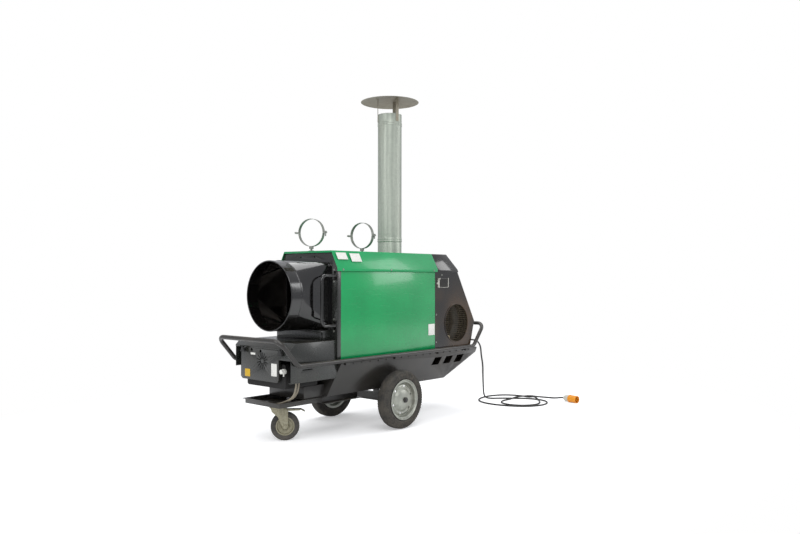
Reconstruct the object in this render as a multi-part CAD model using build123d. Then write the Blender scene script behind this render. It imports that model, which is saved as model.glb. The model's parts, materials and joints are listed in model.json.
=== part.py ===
from build123d import *
from math import atan2, cos, degrees, hypot, pi, radians, sin, sqrt, tan
import os

# Indirect-fired oil heater on two wheels and a braked castor, in millimetres.
# X runs from the air outlet back to the rear handle, with zero at the rear axle until a piece is saved.
# Y runs across, with the near side at low Y. Z is the height above the ground.

# Sheet metal and fits
sheet = 1.5
plate = 3.0
running_gap = 0.05
seat_gap = 0.3

# Rear wheels and axle
wheel_r = 175.0
wheel_y = 300.0
tyre_width = 75.0
rim_r = 119.0
rim_width = 60.0
rim_wall = 3.0
hub_r = 24.0
hub_length = 72.0
rim_hole_r = 6.0
rim_hole_count = 6
rim_hole_circle_r = 82.0
axle_r = 10.0
axle_end_clearance = 14.0
axle_tube = 46.0
axle_tube_wall = 4.0
nut_across = 30.0
nut_height = 12.0

# Castor
castor_r = 80.0
castor_width = 40.0
castor_rim_r = 52.0
castor_hub_r = 17.0
castor_axle_r = 6.0
castor_trail = 50.0
castor_angle = -40.0
castor_x = -713.0
fork_gap = 52.0
fork_wall = 4.0
swivel_r = 38.0
swivel_pin_r = 8.0
swivel_height = 18.0
castor_plate_length = 135.0
castor_plate_width = 110.0
pedal_length = 138.0
pedal_width = 40.0
pedal_pivot_x = 24.0
pedal_pivot_r = 4.0

# Tray that carries the castor
tray_front_x = -812.0
tray_rear_x = -500.0
tray_half_width = 150.0
tray_bottom_z = 205.0
tray_height = 28.0
tray_lip = 12.0

# Hull: the sloping lower casing
hull_top_z = 428.0
hull_bottom_z = 238.0
hull_half_top = 262.0
hull_half_bottom = 188.0
hull_front_top_x = -460.0
hull_front_bottom_x = -504.0
hull_bottom_rear_x = 570.0
hull_rear_x = 850.0
hull_rear_lip_z = 396.0
nose_front_x = -640.0
nose_top_z = 304.0
vent_x = 404.0
vent_width = 74.0
vent_pitch = 120.0
vent_count = 3
vent_top_z = 390.0
vent_height = 50.0
vent_slant = 16.0
channel_y = 150.0
channel_width = 50.0
channel_depth = 42.0
channel_rear_x = -195.0

# Rails and push handles
rail_r = 12.5
rail_wall = 2.0
rail_reach = 8.0
rail_y = hull_half_top + rail_reach
rail_z = 440.0
rail_front_x = -634.0
rail_rear_x = 752.0
front_handle_foot_x = -788.0
front_handle_x = -911.0
front_handle_z = 577.0
rear_handle_x = 922.0
rear_handle_z = 590.0
rear_handle_foot_x = 800.0
handle_bend_r = 52.0

# Casing above the hull
body_half_width = 249.0
body_front_x = -480.0
post_width = 28.0
panel_rear_x = 400.0
panel_fold = 14.0
deck_z = 431.0
eave_z = 965.0
eave_lip_z = 947.0
roof_top_z = 1065.0
roof_half_top = 204.0
eave_reach = 8.0
roof_half_eave = body_half_width + eave_reach
roof_front_x = -487.0
roof_joint_x = 420.0
slope_top_x = 576.0
slope_bottom_x = 835.0
slope_bottom_z = 613.0
rear_foot_x = 785.0

# Air outlet
outlet_z = 808.0
outlet_r = 198.0
outlet_front_x = -767.0
collar_back_x = -690.0
cone_base_half = 190.0
cone_corner_r = 26.0
cone_flange = 16.0
bead_r = 3.5
lip_r = 2.8

# Step box and grab bars on the front
step_top_z = 612.5
step_half_width = 200.0
step_depth = 64.0
grab_r = 9.0
grab_inset = 14.0
grab_y = body_half_width - grab_inset
grab_top_z = 922.0
grab_bottom_z = 640.0
grab_reach = 106.0
grab_bend_r = 28.0
screw_r = 6.0
screw_height = 3.5

# Burner bay
bay_half_width = 240.0
bay_top_z = 557.0
bay_front_x = -811.0
bay_chamfer = 29.0
bay_near_bottom_z = 345.0
bay_far_notch_x = -775.0
bay_far_notch_z = 408.0
cover_bottom_z = 342.0
cover_far_y = 186.0
cover_near_y = -140.0
cover_wing_z = 466.0
cover_depth = 26.0
knob_z = 507.0
knob_far_y = 152.0
knob_near_y = -169.0
knob_r = 20.0
knob_depth = 20.0
stud_r = 4.0
sun_y = -2.0
sun_z = 452.0
sun_slots = 14
sun_inner_r = 13.0
sun_outer_r = 46.0
sun_slot_width = 5.0
burner_z = 490.0
burner_tube_r = 48.0
burner_front_x = -790.0
burner_rear_x = -560.0
burner_near_y = -172.0
burner_far_y = 158.0
burner_bottom_z = 308.0

# Fire chamber, exchanger and flue
chamber_r = 180.0
chamber_front_x = -430.0
chamber_rear_x = 300.0
header_half_width = 170.0
header_bottom_z = 730.0
header_top_z = 1010.0
header_depth = 90.0
exchange_tube_r = 24.0
flue_x = 235.0
flue_r = 78.0
flue_wall = 1.0
flue_joint_z = 1142.0
flue_top_z = 1978.0
flue_socket = 40.0
cap_r = 190.0
cap_rim_z = 2061.0
cap_rise = 35.0
strut_width = 22.0

# Blower
fan_x = 630.0
fan_z = 606.0
intake_r = 125.0
fan_wheel_r = 118.0
fan_hub_r = 22.0
fan_wheel_width = 210.0
fan_blade_count = 30
fan_blade_depth = 26.0
fan_shaft_r = 10.0
scroll_half_width = 125.0
scroll_start_r = 134.0
scroll_growth = 62.0
guard_wire = 2.4
guard_pitch = 25.0

# Pipe clips on the roof
clip_r = 79.5
clip_band = 2.5
clip_width = 25.0
clip_z = 1174.0
clip_ear = 24.0
clip_front_x = -452.0
clip_front_turn = 19.0
clip_rear_x = -25.0
clip_rear_turn = 10.0
clip_pin_r = 3.0
clip_stud_r = 6.0

# Connector on the rear side panel
socket_x = 480.5
socket_z = 873.0
socket_width = 104.0
socket_height = 56.0
socket_wall = 8.0

# Mains cable
cable_r = 5.5
gland_y = -212.0
gland_z = 478.0
gland_r = 14.0
plug_rear_r = 23.0
plug_r = 26.0

# The frame's origin stands midway between the two push handles
origin_x = (front_handle_x + rear_handle_x) / 2

nodes = {}


def save(node, *solids):
    nodes[node] = [Pos(-origin_x, 0, 0) * solid for solid in solids]


def block(x0, x1, y0, y1, z0, z1):
    return Pos((x0 + x1) / 2, (y0 + y1) / 2, (z0 + z1) / 2) * Box(x1 - x0, y1 - y0, z1 - z0)


def side_extrusion(points, y0, y1):
    # An outline in X and Z, pushed along Y
    face = Plane.XZ * make_face(Polyline(*points, close=True))
    return Pos(0, y0, 0) * extrude(face, amount=-(y1 - y0))


def cross_extrusion(points, x0, x1):
    # An outline in Y and Z, pushed along X
    face = Plane.YZ * make_face(Polyline(*points, close=True))
    return Pos(x0, 0, 0) * extrude(face, amount=x1 - x0)


def rod_x(x0, x1, y, z, radius):
    return Pos((x0 + x1) / 2, y, z) * Rot(0, 90, 0) * Cylinder(radius, x1 - x0)


def rod_y(y0, y1, x, z, radius):
    return Pos(x, (y0 + y1) / 2, z) * Rot(90, 0, 0) * Cylinder(radius, y1 - y0)


def rod_z(z0, z1, x, y, radius):
    return Pos(x, y, (z0 + z1) / 2) * Cylinder(radius, z1 - z0)


def mirrored(solid):
    return mirror(solid, about=Plane.XZ)


def swept(points, radii, radius):
    path = FilletPolyline(*points, radius=radii)
    start = Plane(origin=path @ 0, z_dir=path % 0)
    return sweep(start * Circle(radius), path=path)


def bent_tube(points, radii, radius, wall):
    return swept(points, radii, radius) - swept(points, radii, radius - wall)


def hull_profile(inset):
    outline = [
        (hull_front_top_x, hull_top_z),
        (hull_front_bottom_x, hull_bottom_z),
        (hull_bottom_rear_x, hull_bottom_z),
        (hull_rear_x, hull_rear_lip_z),
        (hull_rear_x, hull_top_z),
    ]
    face = make_face(Polyline(*outline, close=True))
    if inset:
        face = offset(face, amount=-inset, kind=Kind.INTERSECTION)
    return Pos(0, 0, 0) * extrude(Plane.XZ * face, amount=hull_half_top * 2, both=True)


def hull_section(inset):
    outline = [
        (-hull_half_top, hull_top_z),
        (-hull_half_bottom, hull_bottom_z),
        (hull_half_bottom, hull_bottom_z),
        (hull_half_top, hull_top_z),
    ]
    face = make_face(Polyline(*outline, close=True))
    if inset:
        face = offset(face, amount=-inset, kind=Kind.INTERSECTION)
    return extrude(Plane.YZ * face, amount=hull_rear_x * 2, both=True)


def hull_half_width(z):
    share = (z - hull_bottom_z) / (hull_top_z - hull_bottom_z)
    return hull_half_bottom + share * (hull_half_top - hull_half_bottom)


def hull():
    wall = 2.0
    outer = hull_profile(0) & hull_section(0)
    inner = hull_profile(wall) & hull_section(wall)
    shell = outer - inner
    shell -= block(hull_front_top_x + wall, hull_rear_x - wall, -hull_half_top + 2 * wall,
                   hull_half_top - 2 * wall, hull_top_z - 2 * wall, hull_top_z)
    # Hollow nose that closes the space between the tray and the burner
    low_z = tray_bottom_z + tray_height
    nose = block(nose_front_x, hull_front_top_x, -tray_half_width, tray_half_width, low_z, nose_top_z)
    nose -= block(nose_front_x + wall, hull_front_top_x, -tray_half_width + wall,
                  tray_half_width - wall, low_z + wall, nose_top_z - wall)
    nose -= block(tray_rear_x, hull_front_top_x, -tray_half_width, tray_half_width, low_z, hull_bottom_z)
    shell += nose - hull_profile(0)
    bottom_z = vent_top_z - vent_height
    for index in range(vent_count):
        left = vent_x + index * vent_pitch
        slot = [(left, vent_top_z), (left + vent_width, vent_top_z),
                (left + vent_width - vent_slant, bottom_z), (left - vent_slant, bottom_z)]
        reach = hull_half_top
        hole = side_extrusion(slot, -reach, -hull_half_width(bottom_z) + 12)
        shell = shell - hole - mirrored(hole)
    return shell


def deck():
    # Frame plate on the hull, open over the fire chamber and under the blower
    edge = hull_half_top - 4
    base = block(hull_front_top_x, hull_rear_x, -edge, edge, hull_top_z, deck_z)
    base -= block(chamber_front_x, chamber_rear_x, -header_half_width - 20, header_half_width + 20,
                  hull_top_z, deck_z)
    base -= block(fan_x - intake_r, fan_x + intake_r, -body_half_width + 40, body_half_width - 40,
                  hull_top_z, deck_z)
    return base


def tray():
    outer = block(tray_front_x, tray_rear_x, -tray_half_width, tray_half_width,
                  tray_bottom_z, tray_bottom_z + tray_height)
    outer += block(tray_front_x - tray_lip, tray_rear_x, -tray_half_width - tray_lip,
                   tray_half_width + tray_lip, tray_bottom_z + tray_height - plate,
                   tray_bottom_z + tray_height)
    hollow = block(tray_front_x + plate, tray_rear_x, -tray_half_width + plate,
                   tray_half_width - plate, tray_bottom_z + plate, tray_bottom_z + tray_height)
    hole = rod_z(tray_bottom_z, tray_bottom_z + plate, castor_x, 0, swivel_pin_r + 6)
    return outer - hollow - hole


def channel(side):
    # Folded channel under the hull, open to the outside
    y0 = channel_y - channel_width / 2
    z1 = hull_bottom_z
    z0 = z1 - channel_depth
    outer = block(tray_rear_x, channel_rear_x, y0, y0 + channel_width, z0, z1)
    inner = block(tray_rear_x, channel_rear_x, y0 + plate, y0 + channel_width, z0 + plate, z1 - plate)
    solid = outer - inner
    return solid if side > 0 else mirrored(solid)


def axle():
    half = axle_tube / 2
    tube_end = wheel_y - hub_length / 2 - 6
    pin_end = wheel_y + hub_length / 2 + axle_end_clearance
    beam = block(-half, half, -tube_end, tube_end, wheel_r - half, wheel_r + half)
    beam -= block(-half + axle_tube_wall, half - axle_tube_wall, -tube_end + 20, tube_end - 20,
                  wheel_r - half + axle_tube_wall, wheel_r + half - axle_tube_wall)
    beam += rod_y(tube_end, pin_end, 0, wheel_r, axle_r)
    beam += rod_y(-pin_end, -tube_end, 0, wheel_r, axle_r)
    beam += rod_y(tube_end, wheel_y - hub_length / 2 - seat_gap, 0, wheel_r, axle_r + 5)
    beam += rod_y(-wheel_y + hub_length / 2 + seat_gap, -tube_end, 0, wheel_r, axle_r + 5)
    # Two brackets carry the hull on the beam
    for y in (-channel_y, channel_y):
        foot = block(-55, 55, y - 25, y + 25, wheel_r + half, hull_bottom_z)
        beam += foot - block(-50, 50, y - 25, y + 25, wheel_r + half + 5, hull_bottom_z - 5)
    return beam


def axle_nut(side):
    start = wheel_y + hub_length / 2 + seat_gap
    hexagon = Pos(0, 0, 0) * RegularPolygon(nut_across / 2, 6, major_radius=False)
    nut = extrude(hexagon - Circle(axle_r), amount=nut_height)
    nut = Pos(0, start + nut_height, wheel_r) * Rot(90, 0, 0) * nut
    return nut if side > 0 else mirrored(nut)


def tyre(centre_y):
    half = tyre_width / 2
    tread_half = half * 0.72
    inner_half = rim_width / 2 - rim_wall
    bead = rim_r - 14
    with BuildSketch() as section:
        with BuildLine():
            Polyline((-inner_half, bead), (-inner_half, rim_r + 3), (-half, rim_r + 15), (-half, wheel_r - 26))
            ThreePointArc((-half, wheel_r - 26), (-half * 0.93, wheel_r - 11), (-tread_half, wheel_r - 3))
            ThreePointArc((-tread_half, wheel_r - 3), (0, wheel_r), (tread_half, wheel_r - 3))
            ThreePointArc((tread_half, wheel_r - 3), (half * 0.93, wheel_r - 11), (half, wheel_r - 26))
            Polyline((half, wheel_r - 26), (half, rim_r + 15), (inner_half, rim_r + 3), (inner_half, bead),
                     (-inner_half, bead))
        make_face()
        with BuildLine():
            Polyline((-inner_half + 9, bead), (-half + 12, rim_r + 19), (-half + 12, wheel_r - 26),
                     (-tread_half + 6, wheel_r - 14), (tread_half - 6, wheel_r - 14),
                     (half - 12, wheel_r - 26), (half - 12, rim_r + 19), (inner_half - 9, bead), close=True)
        make_face(mode=Mode.SUBTRACT)
    solid = revolve(section.sketch, axis=Axis.X)
    return Pos(0, centre_y, wheel_r) * Rot(0, 0, 90) * solid


def rim(centre_y):
    # Pressed rim: a well for the tyre, a ribbed disc that bulges out to the hub, and a hub tube
    half = rim_width / 2
    well = rim_r - 14
    lip = 5.0
    with BuildSketch() as section:
        with BuildLine():
            Polyline((-half, rim_r), (-half + rim_wall, rim_r), (-half + rim_wall, well),
                     (half - rim_wall, well), (half - rim_wall, rim_r), (half, rim_r),
                     (half + lip, rim_r + 1), (half + lip, rim_r - 3), (half + 1, rim_r - 5),
                     (half, well - rim_wall), (-half, well - rim_wall), close=True)
        make_face()
        with BuildLine():
            Polyline((9, well - 2), (5, well - 6), (6, well - 11), (13, well - 17), (15.5, well - 23),
                     (13.5, well - 29), (12.5, well - 34), (16, well - 39), (24, well - 45), (30, well - 55),
                     (34, well - 67), (half + 6, hub_r - 1), (half + 3, hub_r - 1), (31, well - 67.5),
                     (27.3, well - 56.5), (21.8, well - 47.4), (13.5, well - 41), (9.5, well - 35),
                     (10.5, well - 29), (12.3, well - 24), (10.5, well - 19.5), (3.2, well - 13),
                     (2, well - 6), (5, well - 2), close=True)
        make_face()
        with Locations((0, (hub_r + axle_r + running_gap) / 2)):
            Rectangle(hub_length, hub_r - axle_r - running_gap)
    solid = revolve(section.sketch, axis=Axis.X)
    for index in range(rim_hole_count):
        turn = index * 360 / rim_hole_count
        solid -= Rot(turn, 0, 0) * Pos(6, 0, rim_hole_circle_r) * Rot(0, 90, 0) * Cylinder(rim_hole_r, 60)
    outward = 90 if centre_y > 0 else -90
    return Pos(0, centre_y, wheel_r) * Rot(0, 0, outward) * solid


def castor_place(solid):
    # Local +X is the way the castor trails
    return Pos(castor_x, 0, 0) * Rot(0, 0, castor_angle) * solid


def castor_top():
    top = tray_bottom_z
    half_l = castor_plate_length / 2
    half_w = castor_plate_width / 2
    base = block(-half_l, half_l, -half_w, half_w, top - 5, top)
    for x in (-half_l + 15, half_l - 15):
        for y in (-half_w + 15, half_w - 15):
            base -= rod_z(top - 5, top, x, y, 5.5)
    base += rod_z(top - 5 - swivel_height / 2, top - 5, 0, 0, swivel_r)
    base += rod_z(top - 5 - swivel_height - 12, top, 0, 0, swivel_pin_r)
    return Pos(castor_x, 0, 0) * base


def castor_fork():
    crown_top = tray_bottom_z - 5 - swivel_height / 2 - seat_gap
    crown_bottom = crown_top - swivel_height / 2
    half = fork_gap / 2
    crown = rod_z(crown_bottom, crown_top, 0, 0, swivel_r)
    crown += block(-30, castor_trail, -half - fork_wall, half + fork_wall, crown_bottom, crown_bottom + fork_wall)
    axle_z = castor_r
    leg = [(-30, crown_bottom + fork_wall), (castor_trail + 4, crown_bottom + fork_wall),
           (castor_trail + 16, crown_bottom - 16), (castor_trail + 16, axle_z),
           (castor_trail + 10, axle_z - 14), (castor_trail - 10, axle_z - 14),
           (castor_trail - 16, axle_z), (8, crown_bottom - 46), (-24, crown_bottom - 18)]
    for y in (-half - fork_wall, half):
        crown += side_extrusion(leg, y, y + fork_wall)
    crown -= rod_z(crown_bottom - 5, crown_top + 1, 0, 0, swivel_pin_r + running_gap)
    pedal_z = crown_bottom - 11
    crown -= rod_y(-half - fork_wall, half + fork_wall, pedal_pivot_x, pedal_z, pedal_pivot_r + running_gap)
    reach = half + fork_wall + 7
    crown += rod_y(-reach, reach, castor_trail, axle_z, castor_axle_r)
    for side in (-1, 1):
        y = side * (half + fork_wall + 3.5)
        crown += Pos(castor_trail, y, axle_z) * Rot(90, 0, 0) * Cylinder(11, 7)
    return castor_place(crown)


def brake_pedal():
    crown_bottom = tray_bottom_z - 5 - swivel_height - seat_gap
    pivot_z = crown_bottom - 11
    half = pedal_width / 2
    top = pivot_z + 5
    arm = side_extrusion([(pedal_pivot_x - 8, top), (pedal_length, top - 2), (pedal_length + 22, top - 14),
                          (pedal_length + 20, top - 17), (pedal_length - 2, top - 5),
                          (pedal_pivot_x - 8, top - 3)], -half, half)
    for y in (-half, half - 3):
        arm += side_extrusion([(pedal_pivot_x - 8, top), (pedal_length, top - 2), (pedal_length - 6, top - 9),
                               (castor_trail + 20, top - 11), (pedal_pivot_x + 6, pivot_z - 7),
                               (pedal_pivot_x - 8, pivot_z - 5)], y, y + 3)
    reach = fork_gap / 2 + fork_wall + 3
    arm += rod_y(-reach, reach, pedal_pivot_x, pivot_z, pedal_pivot_r)
    return castor_place(arm)


def castor_tyre():
    half = castor_width / 2
    with BuildSketch() as section:
        with BuildLine():
            Polyline((-half + 3, castor_rim_r + running_gap), (-half, castor_rim_r + 6), (-half, castor_r - 11))
            ThreePointArc((-half, castor_r - 11), (-half * 0.78, castor_r - 3), (-half * 0.4, castor_r))
            Line((-half * 0.4, castor_r), (half * 0.4, castor_r))
            ThreePointArc((half * 0.4, castor_r), (half * 0.78, castor_r - 3), (half, castor_r - 11))
            Polyline((half, castor_r - 11), (half, castor_rim_r + 6), (half - 3, castor_rim_r + running_gap),
                     (-half + 3, castor_rim_r + running_gap))
        make_face()
    solid = revolve(section.sketch, axis=Axis.X)
    return castor_place(Pos(castor_trail, 0, castor_r) * Rot(0, 0, 90) * solid)


def castor_rim():
    half = castor_width / 2
    bore = castor_axle_r + running_gap
    with BuildSketch() as section:
        with BuildLine():
            Polyline((-half + 3, castor_rim_r), (half - 3, castor_rim_r), (half - 3, castor_rim_r - 6),
                     (6, castor_rim_r - 9), (4, castor_hub_r + 8), (half + 3, castor_hub_r), (half + 3, bore),
                     (-half - 3, bore), (-half - 3, castor_hub_r), (-4, castor_hub_r + 8),
                     (-6, castor_rim_r - 9), (-half + 3, castor_rim_r - 6), close=True)
        make_face()
    solid = revolve(section.sketch, axis=Axis.X)
    return castor_place(Pos(castor_trail, 0, castor_r) * Rot(0, 0, 90) * solid)


def side_rail():
    tube = rod_x(rail_front_x, rail_rear_x, -rail_y, rail_z, rail_r)
    tube -= rod_x(rail_front_x, rail_rear_x, -rail_y, rail_z, rail_r - rail_wall)
    # Brackets hold the rail on the hull's top flange
    for x in (-420, 0, 420, 720):
        shelf = block(x - 15, x + 15, -rail_y - 4, -hull_half_top, hull_top_z - 12, rail_z - rail_r + 2)
        tube += shelf - rod_x(x - 15, x + 15, -rail_y, rail_z, rail_r - 0.5)
    return tube


def handle_points(rail_end_x, foot_x, bar_x, bar_z):
    half = [(rail_end_x, -rail_y, rail_z), (foot_x, -rail_y, rail_z), (bar_x, -rail_y, bar_z)]
    return half + [(x, -y, z) for x, y, z in reversed(half)]


def push_handle(rail_end_x, foot_x, bar_x, bar_z):
    points = handle_points(rail_end_x, foot_x, bar_x, bar_z)
    return bent_tube(points, handle_bend_r, rail_r, rail_wall)


def front_panel():
    wide = body_half_width
    top = roof_top_z - sheet - seat_gap
    slope = (roof_half_eave - roof_half_top) / (roof_top_z - eave_z)
    half_top = roof_half_top - sheet
    half_eave = half_top + slope * (top - eave_z)
    outline = [(-wide, deck_z), (wide, deck_z), (wide, eave_z - 4), (min(wide, half_eave), eave_z),
               (half_top, top), (-half_top, top), (-min(wide, half_eave), eave_z), (-wide, eave_z - 4)]
    face = cross_extrusion(outline, body_front_x, body_front_x + sheet)
    for y in (-wide, wide - sheet):
        face += block(body_front_x, body_front_x + post_width, y, y + sheet, deck_z, eave_lip_z)
    mouth = cone_base_half - 4
    face -= block(body_front_x, body_front_x + sheet, -mouth, mouth, outlet_z - mouth, outlet_z + mouth)
    face -= rod_x(body_front_x, body_front_x + sheet, 0, burner_z, burner_tube_r + 4)
    for y in (-60, 60):
        face -= rod_x(body_front_x, body_front_x + sheet, y, roof_top_z - 36, 5)
    return face


def side_panel():
    # A shallow pan: the outer sheet with its four edges folded in
    y0 = -body_half_width
    x0 = body_front_x + post_width
    pan = block(x0, panel_rear_x, y0, y0 + panel_fold, deck_z, eave_lip_z)
    pan -= block(x0 + sheet, panel_rear_x - sheet, y0 + sheet, y0 + panel_fold, deck_z + sheet, eave_lip_z - sheet)
    return pan


def rear_outline():
    return [(panel_rear_x, deck_z), (panel_rear_x, eave_z - 4), (slope_x(eave_z - 4), eave_z - 4),
            (slope_bottom_x, slope_bottom_z), (rear_foot_x, deck_z)]


def slope_x(z):
    share = (z - slope_bottom_z) / (roof_top_z - slope_bottom_z)
    return slope_bottom_x + share * (slope_top_x - slope_bottom_x)


def rear_side():
    y0 = -body_half_width
    panel = side_extrusion(rear_outline(), y0, y0 + sheet)
    panel -= rod_y(y0, y0 + sheet, fan_x, fan_z, intake_r)
    # Rolled edge round the intake
    ring = rod_y(y0 - 3, y0 + sheet, fan_x, fan_z, intake_r + 5)
    ring -= rod_y(y0 - 3, y0 + sheet, fan_x, fan_z, intake_r)
    half_w = socket_width / 2 - socket_wall
    half_h = socket_height / 2 - socket_wall
    hole = block(socket_x - half_w, socket_x + half_w, y0, y0 + sheet, socket_z - half_h, socket_z + half_h)
    return panel + ring - hole


def rear_panel():
    # One sheet folded at the height of the slope's foot
    wide = body_half_width - sheet - 0.2
    outer = [(rear_foot_x, deck_z), (slope_bottom_x, slope_bottom_z), (slope_x(roof_top_z - 3), roof_top_z - 3)]
    run = hypot(slope_bottom_x - slope_top_x, roof_top_z - slope_bottom_z)
    shift = sheet * run / (roof_top_z - slope_bottom_z)
    inner = [(x - shift * 1.2, z) for x, z in reversed(outer)]
    panel = side_extrusion(outer + inner, -wide, wide)
    section = [(-wide, deck_z), (wide, deck_z), (wide, eave_z), (roof_half_top - 2, roof_top_z - sheet),
               (-roof_half_top + 2, roof_top_z - sheet), (-wide, eave_z)]
    panel = panel & cross_extrusion(section, slope_top_x - 20, hull_rear_x)
    for y in (gland_y, -gland_y):
        panel -= rod_x(rear_foot_x - 40, rear_foot_x + 60, y, gland_z, gland_r - 4)
    return panel


def roof_section(x0, x1):
    outer = [(-roof_half_eave, eave_lip_z), (-roof_half_eave, eave_z), (-roof_half_top, roof_top_z),
             (roof_half_top, roof_top_z), (roof_half_eave, eave_z), (roof_half_eave, eave_lip_z)]
    half_top = roof_half_top - sheet * 0.6
    inner = [(-roof_half_eave + sheet, eave_lip_z), (-roof_half_eave + sheet, eave_z),
             (-half_top, roof_top_z - sheet), (half_top, roof_top_z - sheet),
             (roof_half_eave - sheet, eave_z), (roof_half_eave - sheet, eave_lip_z)]
    return cross_extrusion(outer, x0, x1) - cross_extrusion(inner, x0, x1)


def roof_front():
    roof = roof_section(roof_front_x, roof_joint_x)
    roof -= rod_z(roof_top_z - sheet, roof_top_z, flue_x, 0, flue_r + 3)
    # Folded front edge over the front panel
    edge = [(-roof_half_top, roof_top_z), (roof_half_top, roof_top_z), (roof_half_top, roof_top_z - 12),
            (-roof_half_top, roof_top_z - 12)]
    roof += cross_extrusion(edge, roof_front_x, roof_front_x + sheet)
    return roof


def roof_rear():
    roof = roof_section(roof_joint_x, slope_bottom_x)
    cutter = side_extrusion([(slope_x(roof_top_z + 10), roof_top_z + 10), (slope_x(eave_lip_z - 10), eave_lip_z - 10),
                             (hull_rear_x + 50, eave_lip_z - 10), (hull_rear_x + 50, roof_top_z + 10)],
                            -roof_half_eave - 5, roof_half_eave + 5)
    return roof - cutter


def square_wire(x, half, corner_r):
    # Rounded square, as four sides and four corner arcs
    corners = RectangleRounded(2 * half, 2 * half, corner_r)
    return Plane(origin=(x, 0, outlet_z), x_dir=(0, 1, 0), z_dir=(1, 0, 0)) * corners


def round_wire(x, radius, side_angle):
    # A circle in eight arcs: four short ones that face the sides and four long ones that face the corners
    edges = []
    for quarter in range(4):
        centre = quarter * 90
        edges.append(CenterArc((0, 0), radius, centre - side_angle, 2 * side_angle))
        edges.append(CenterArc((0, 0), radius, centre + side_angle, 90 - 2 * side_angle))
    face = make_face(edges)
    return Plane(origin=(x, 0, outlet_z), x_dir=(0, 1, 0), z_dir=(1, 0, 0)) * face


def outlet_cone():
    wall = sheet
    outer = loft([square_wire(body_front_x - sheet, cone_base_half, cone_corner_r),
                  round_wire(collar_back_x, outlet_r, 7)], ruled=True)
    inner = loft([square_wire(body_front_x - sheet, cone_base_half - wall, cone_corner_r - wall),
                  round_wire(collar_back_x, outlet_r - wall, 7)], ruled=True)
    cone = outer - inner
    reach = cone_base_half + cone_flange
    inside = cone_base_half - wall
    flange = block(body_front_x - sheet, body_front_x, -reach, reach, step_top_z + seat_gap, outlet_z + reach)
    flange -= block(body_front_x - sheet, body_front_x, -inside, inside, outlet_z - inside, outlet_z + inside)
    return cone + flange


def outlet_collar():
    ring = rod_x(outlet_front_x, collar_back_x, 0, outlet_z, outlet_r)
    ring -= rod_x(outlet_front_x, collar_back_x, 0, outlet_z, outlet_r - sheet)
    place = Pos(collar_back_x - 10, 0, outlet_z) * Rot(0, 90, 0)
    bead = place * Torus(outlet_r - 1, bead_r)
    bead -= place * Cylinder(outlet_r - sheet, 4 * bead_r)
    # The rim is rolled inwards, so that a duct slides over it up to the bead
    rolled = Pos(outlet_front_x, 0, outlet_z) * Rot(0, 90, 0) * Torus(outlet_r - sheet / 2 - lip_r, lip_r)
    return ring + bead + rolled


def step_box():
    x0 = body_front_x - step_depth
    box = block(x0, body_front_x, -step_half_width, step_half_width, bay_top_z + sheet, step_top_z)
    box -= block(x0 + sheet, body_front_x, -step_half_width + sheet, step_half_width - sheet,
                 bay_top_z + 2 * sheet, step_top_z - sheet)
    catch = rod_z(bay_top_z + sheet, bay_top_z + 44, x0 - 5, -step_half_width + 14, 4)
    catch += block(x0 - 6, x0, -step_half_width + 8, -step_half_width + 20, bay_top_z + 12, bay_top_z + 32)
    return box + catch


def grab_bar():
    y = -grab_y
    reach_x = body_front_x - grab_reach
    points = [(body_front_x, y, grab_top_z), (reach_x, y, grab_top_z),
              (reach_x, y, grab_bottom_z), (body_front_x, y, grab_bottom_z)]
    bar = swept(points, grab_bend_r, grab_r)
    for z in (grab_top_z, grab_bottom_z):
        bar += block(body_front_x - 3, body_front_x, y - 12, y + 12, z - 26, z + 26)
    return bar


def dome_x(x, y, z):
    # Domed head on a face that looks to low X
    half = screw_height / 2
    head = Cylinder(screw_r, half) + Pos(0, 0, half) * Cone(screw_r, screw_r * 0.6, half)
    return Pos(x - half / 2, y, z) * Rot(0, -90, 0) * head


def dome_y(x, y, z):
    return Pos(x, y, z) * Rot(0, 0, 90) * dome_x(0, 0, 0)


def panel_screws():
    screws = []
    for y in (-grab_y + 14, grab_y - 14):
        for z in (grab_top_z + 32, grab_top_z - 34, grab_bottom_z + 34, grab_bottom_z - 32):
            screws.append(dome_x(body_front_x, y, z))
    for x in (body_front_x + 38, (body_front_x + panel_rear_x) / 2 + 6, panel_rear_x - 20):
        near = dome_y(x, -roof_half_eave, (eave_z + eave_lip_z) / 2)
        screws += [near, mirrored(near)]
    for x, z in ((panel_rear_x + 72, eave_z - 38), (panel_rear_x + 13, 668), (panel_rear_x + 11, deck_z + 58)):
        near = dome_y(x, -body_half_width, z)
        screws += [near, mirrored(near)]
    return screws


def bay_outline(front_bottom, notch):
    front = bay_front_x
    points = [(body_front_x, deck_z), (body_front_x, bay_top_z), (front + bay_chamfer, bay_top_z),
              (front, bay_top_z - bay_chamfer)]
    if notch:
        points += [(front, bay_far_notch_z), (bay_far_notch_x, bay_far_notch_z)]
        front = bay_far_notch_x
    share = (hull_top_z - front_bottom) / (hull_top_z - hull_bottom_z)
    meet_x = hull_front_top_x + share * (hull_front_bottom_x - hull_front_top_x)
    return points + [(front, front_bottom), (meet_x - 2, front_bottom), (hull_front_top_x - 2, hull_top_z),
                     (hull_front_top_x - 2, deck_z)]


def bay_side(side):
    # Cheek plate beside the burner, with a long slot under the rail
    y0 = -bay_half_width
    points = bay_outline(bay_near_bottom_z, side > 0)
    cheek = side_extrusion(points, y0, y0 + plate)
    cheek -= block(-730, -660, y0, y0 + plate, 410, 415)
    lip_end = bay_far_notch_x if side > 0 else bay_front_x
    cheek += block(lip_end, -520, y0, y0 + 20, bay_near_bottom_z, bay_near_bottom_z + plate)
    return mirrored(cheek) if side > 0 else cheek


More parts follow.
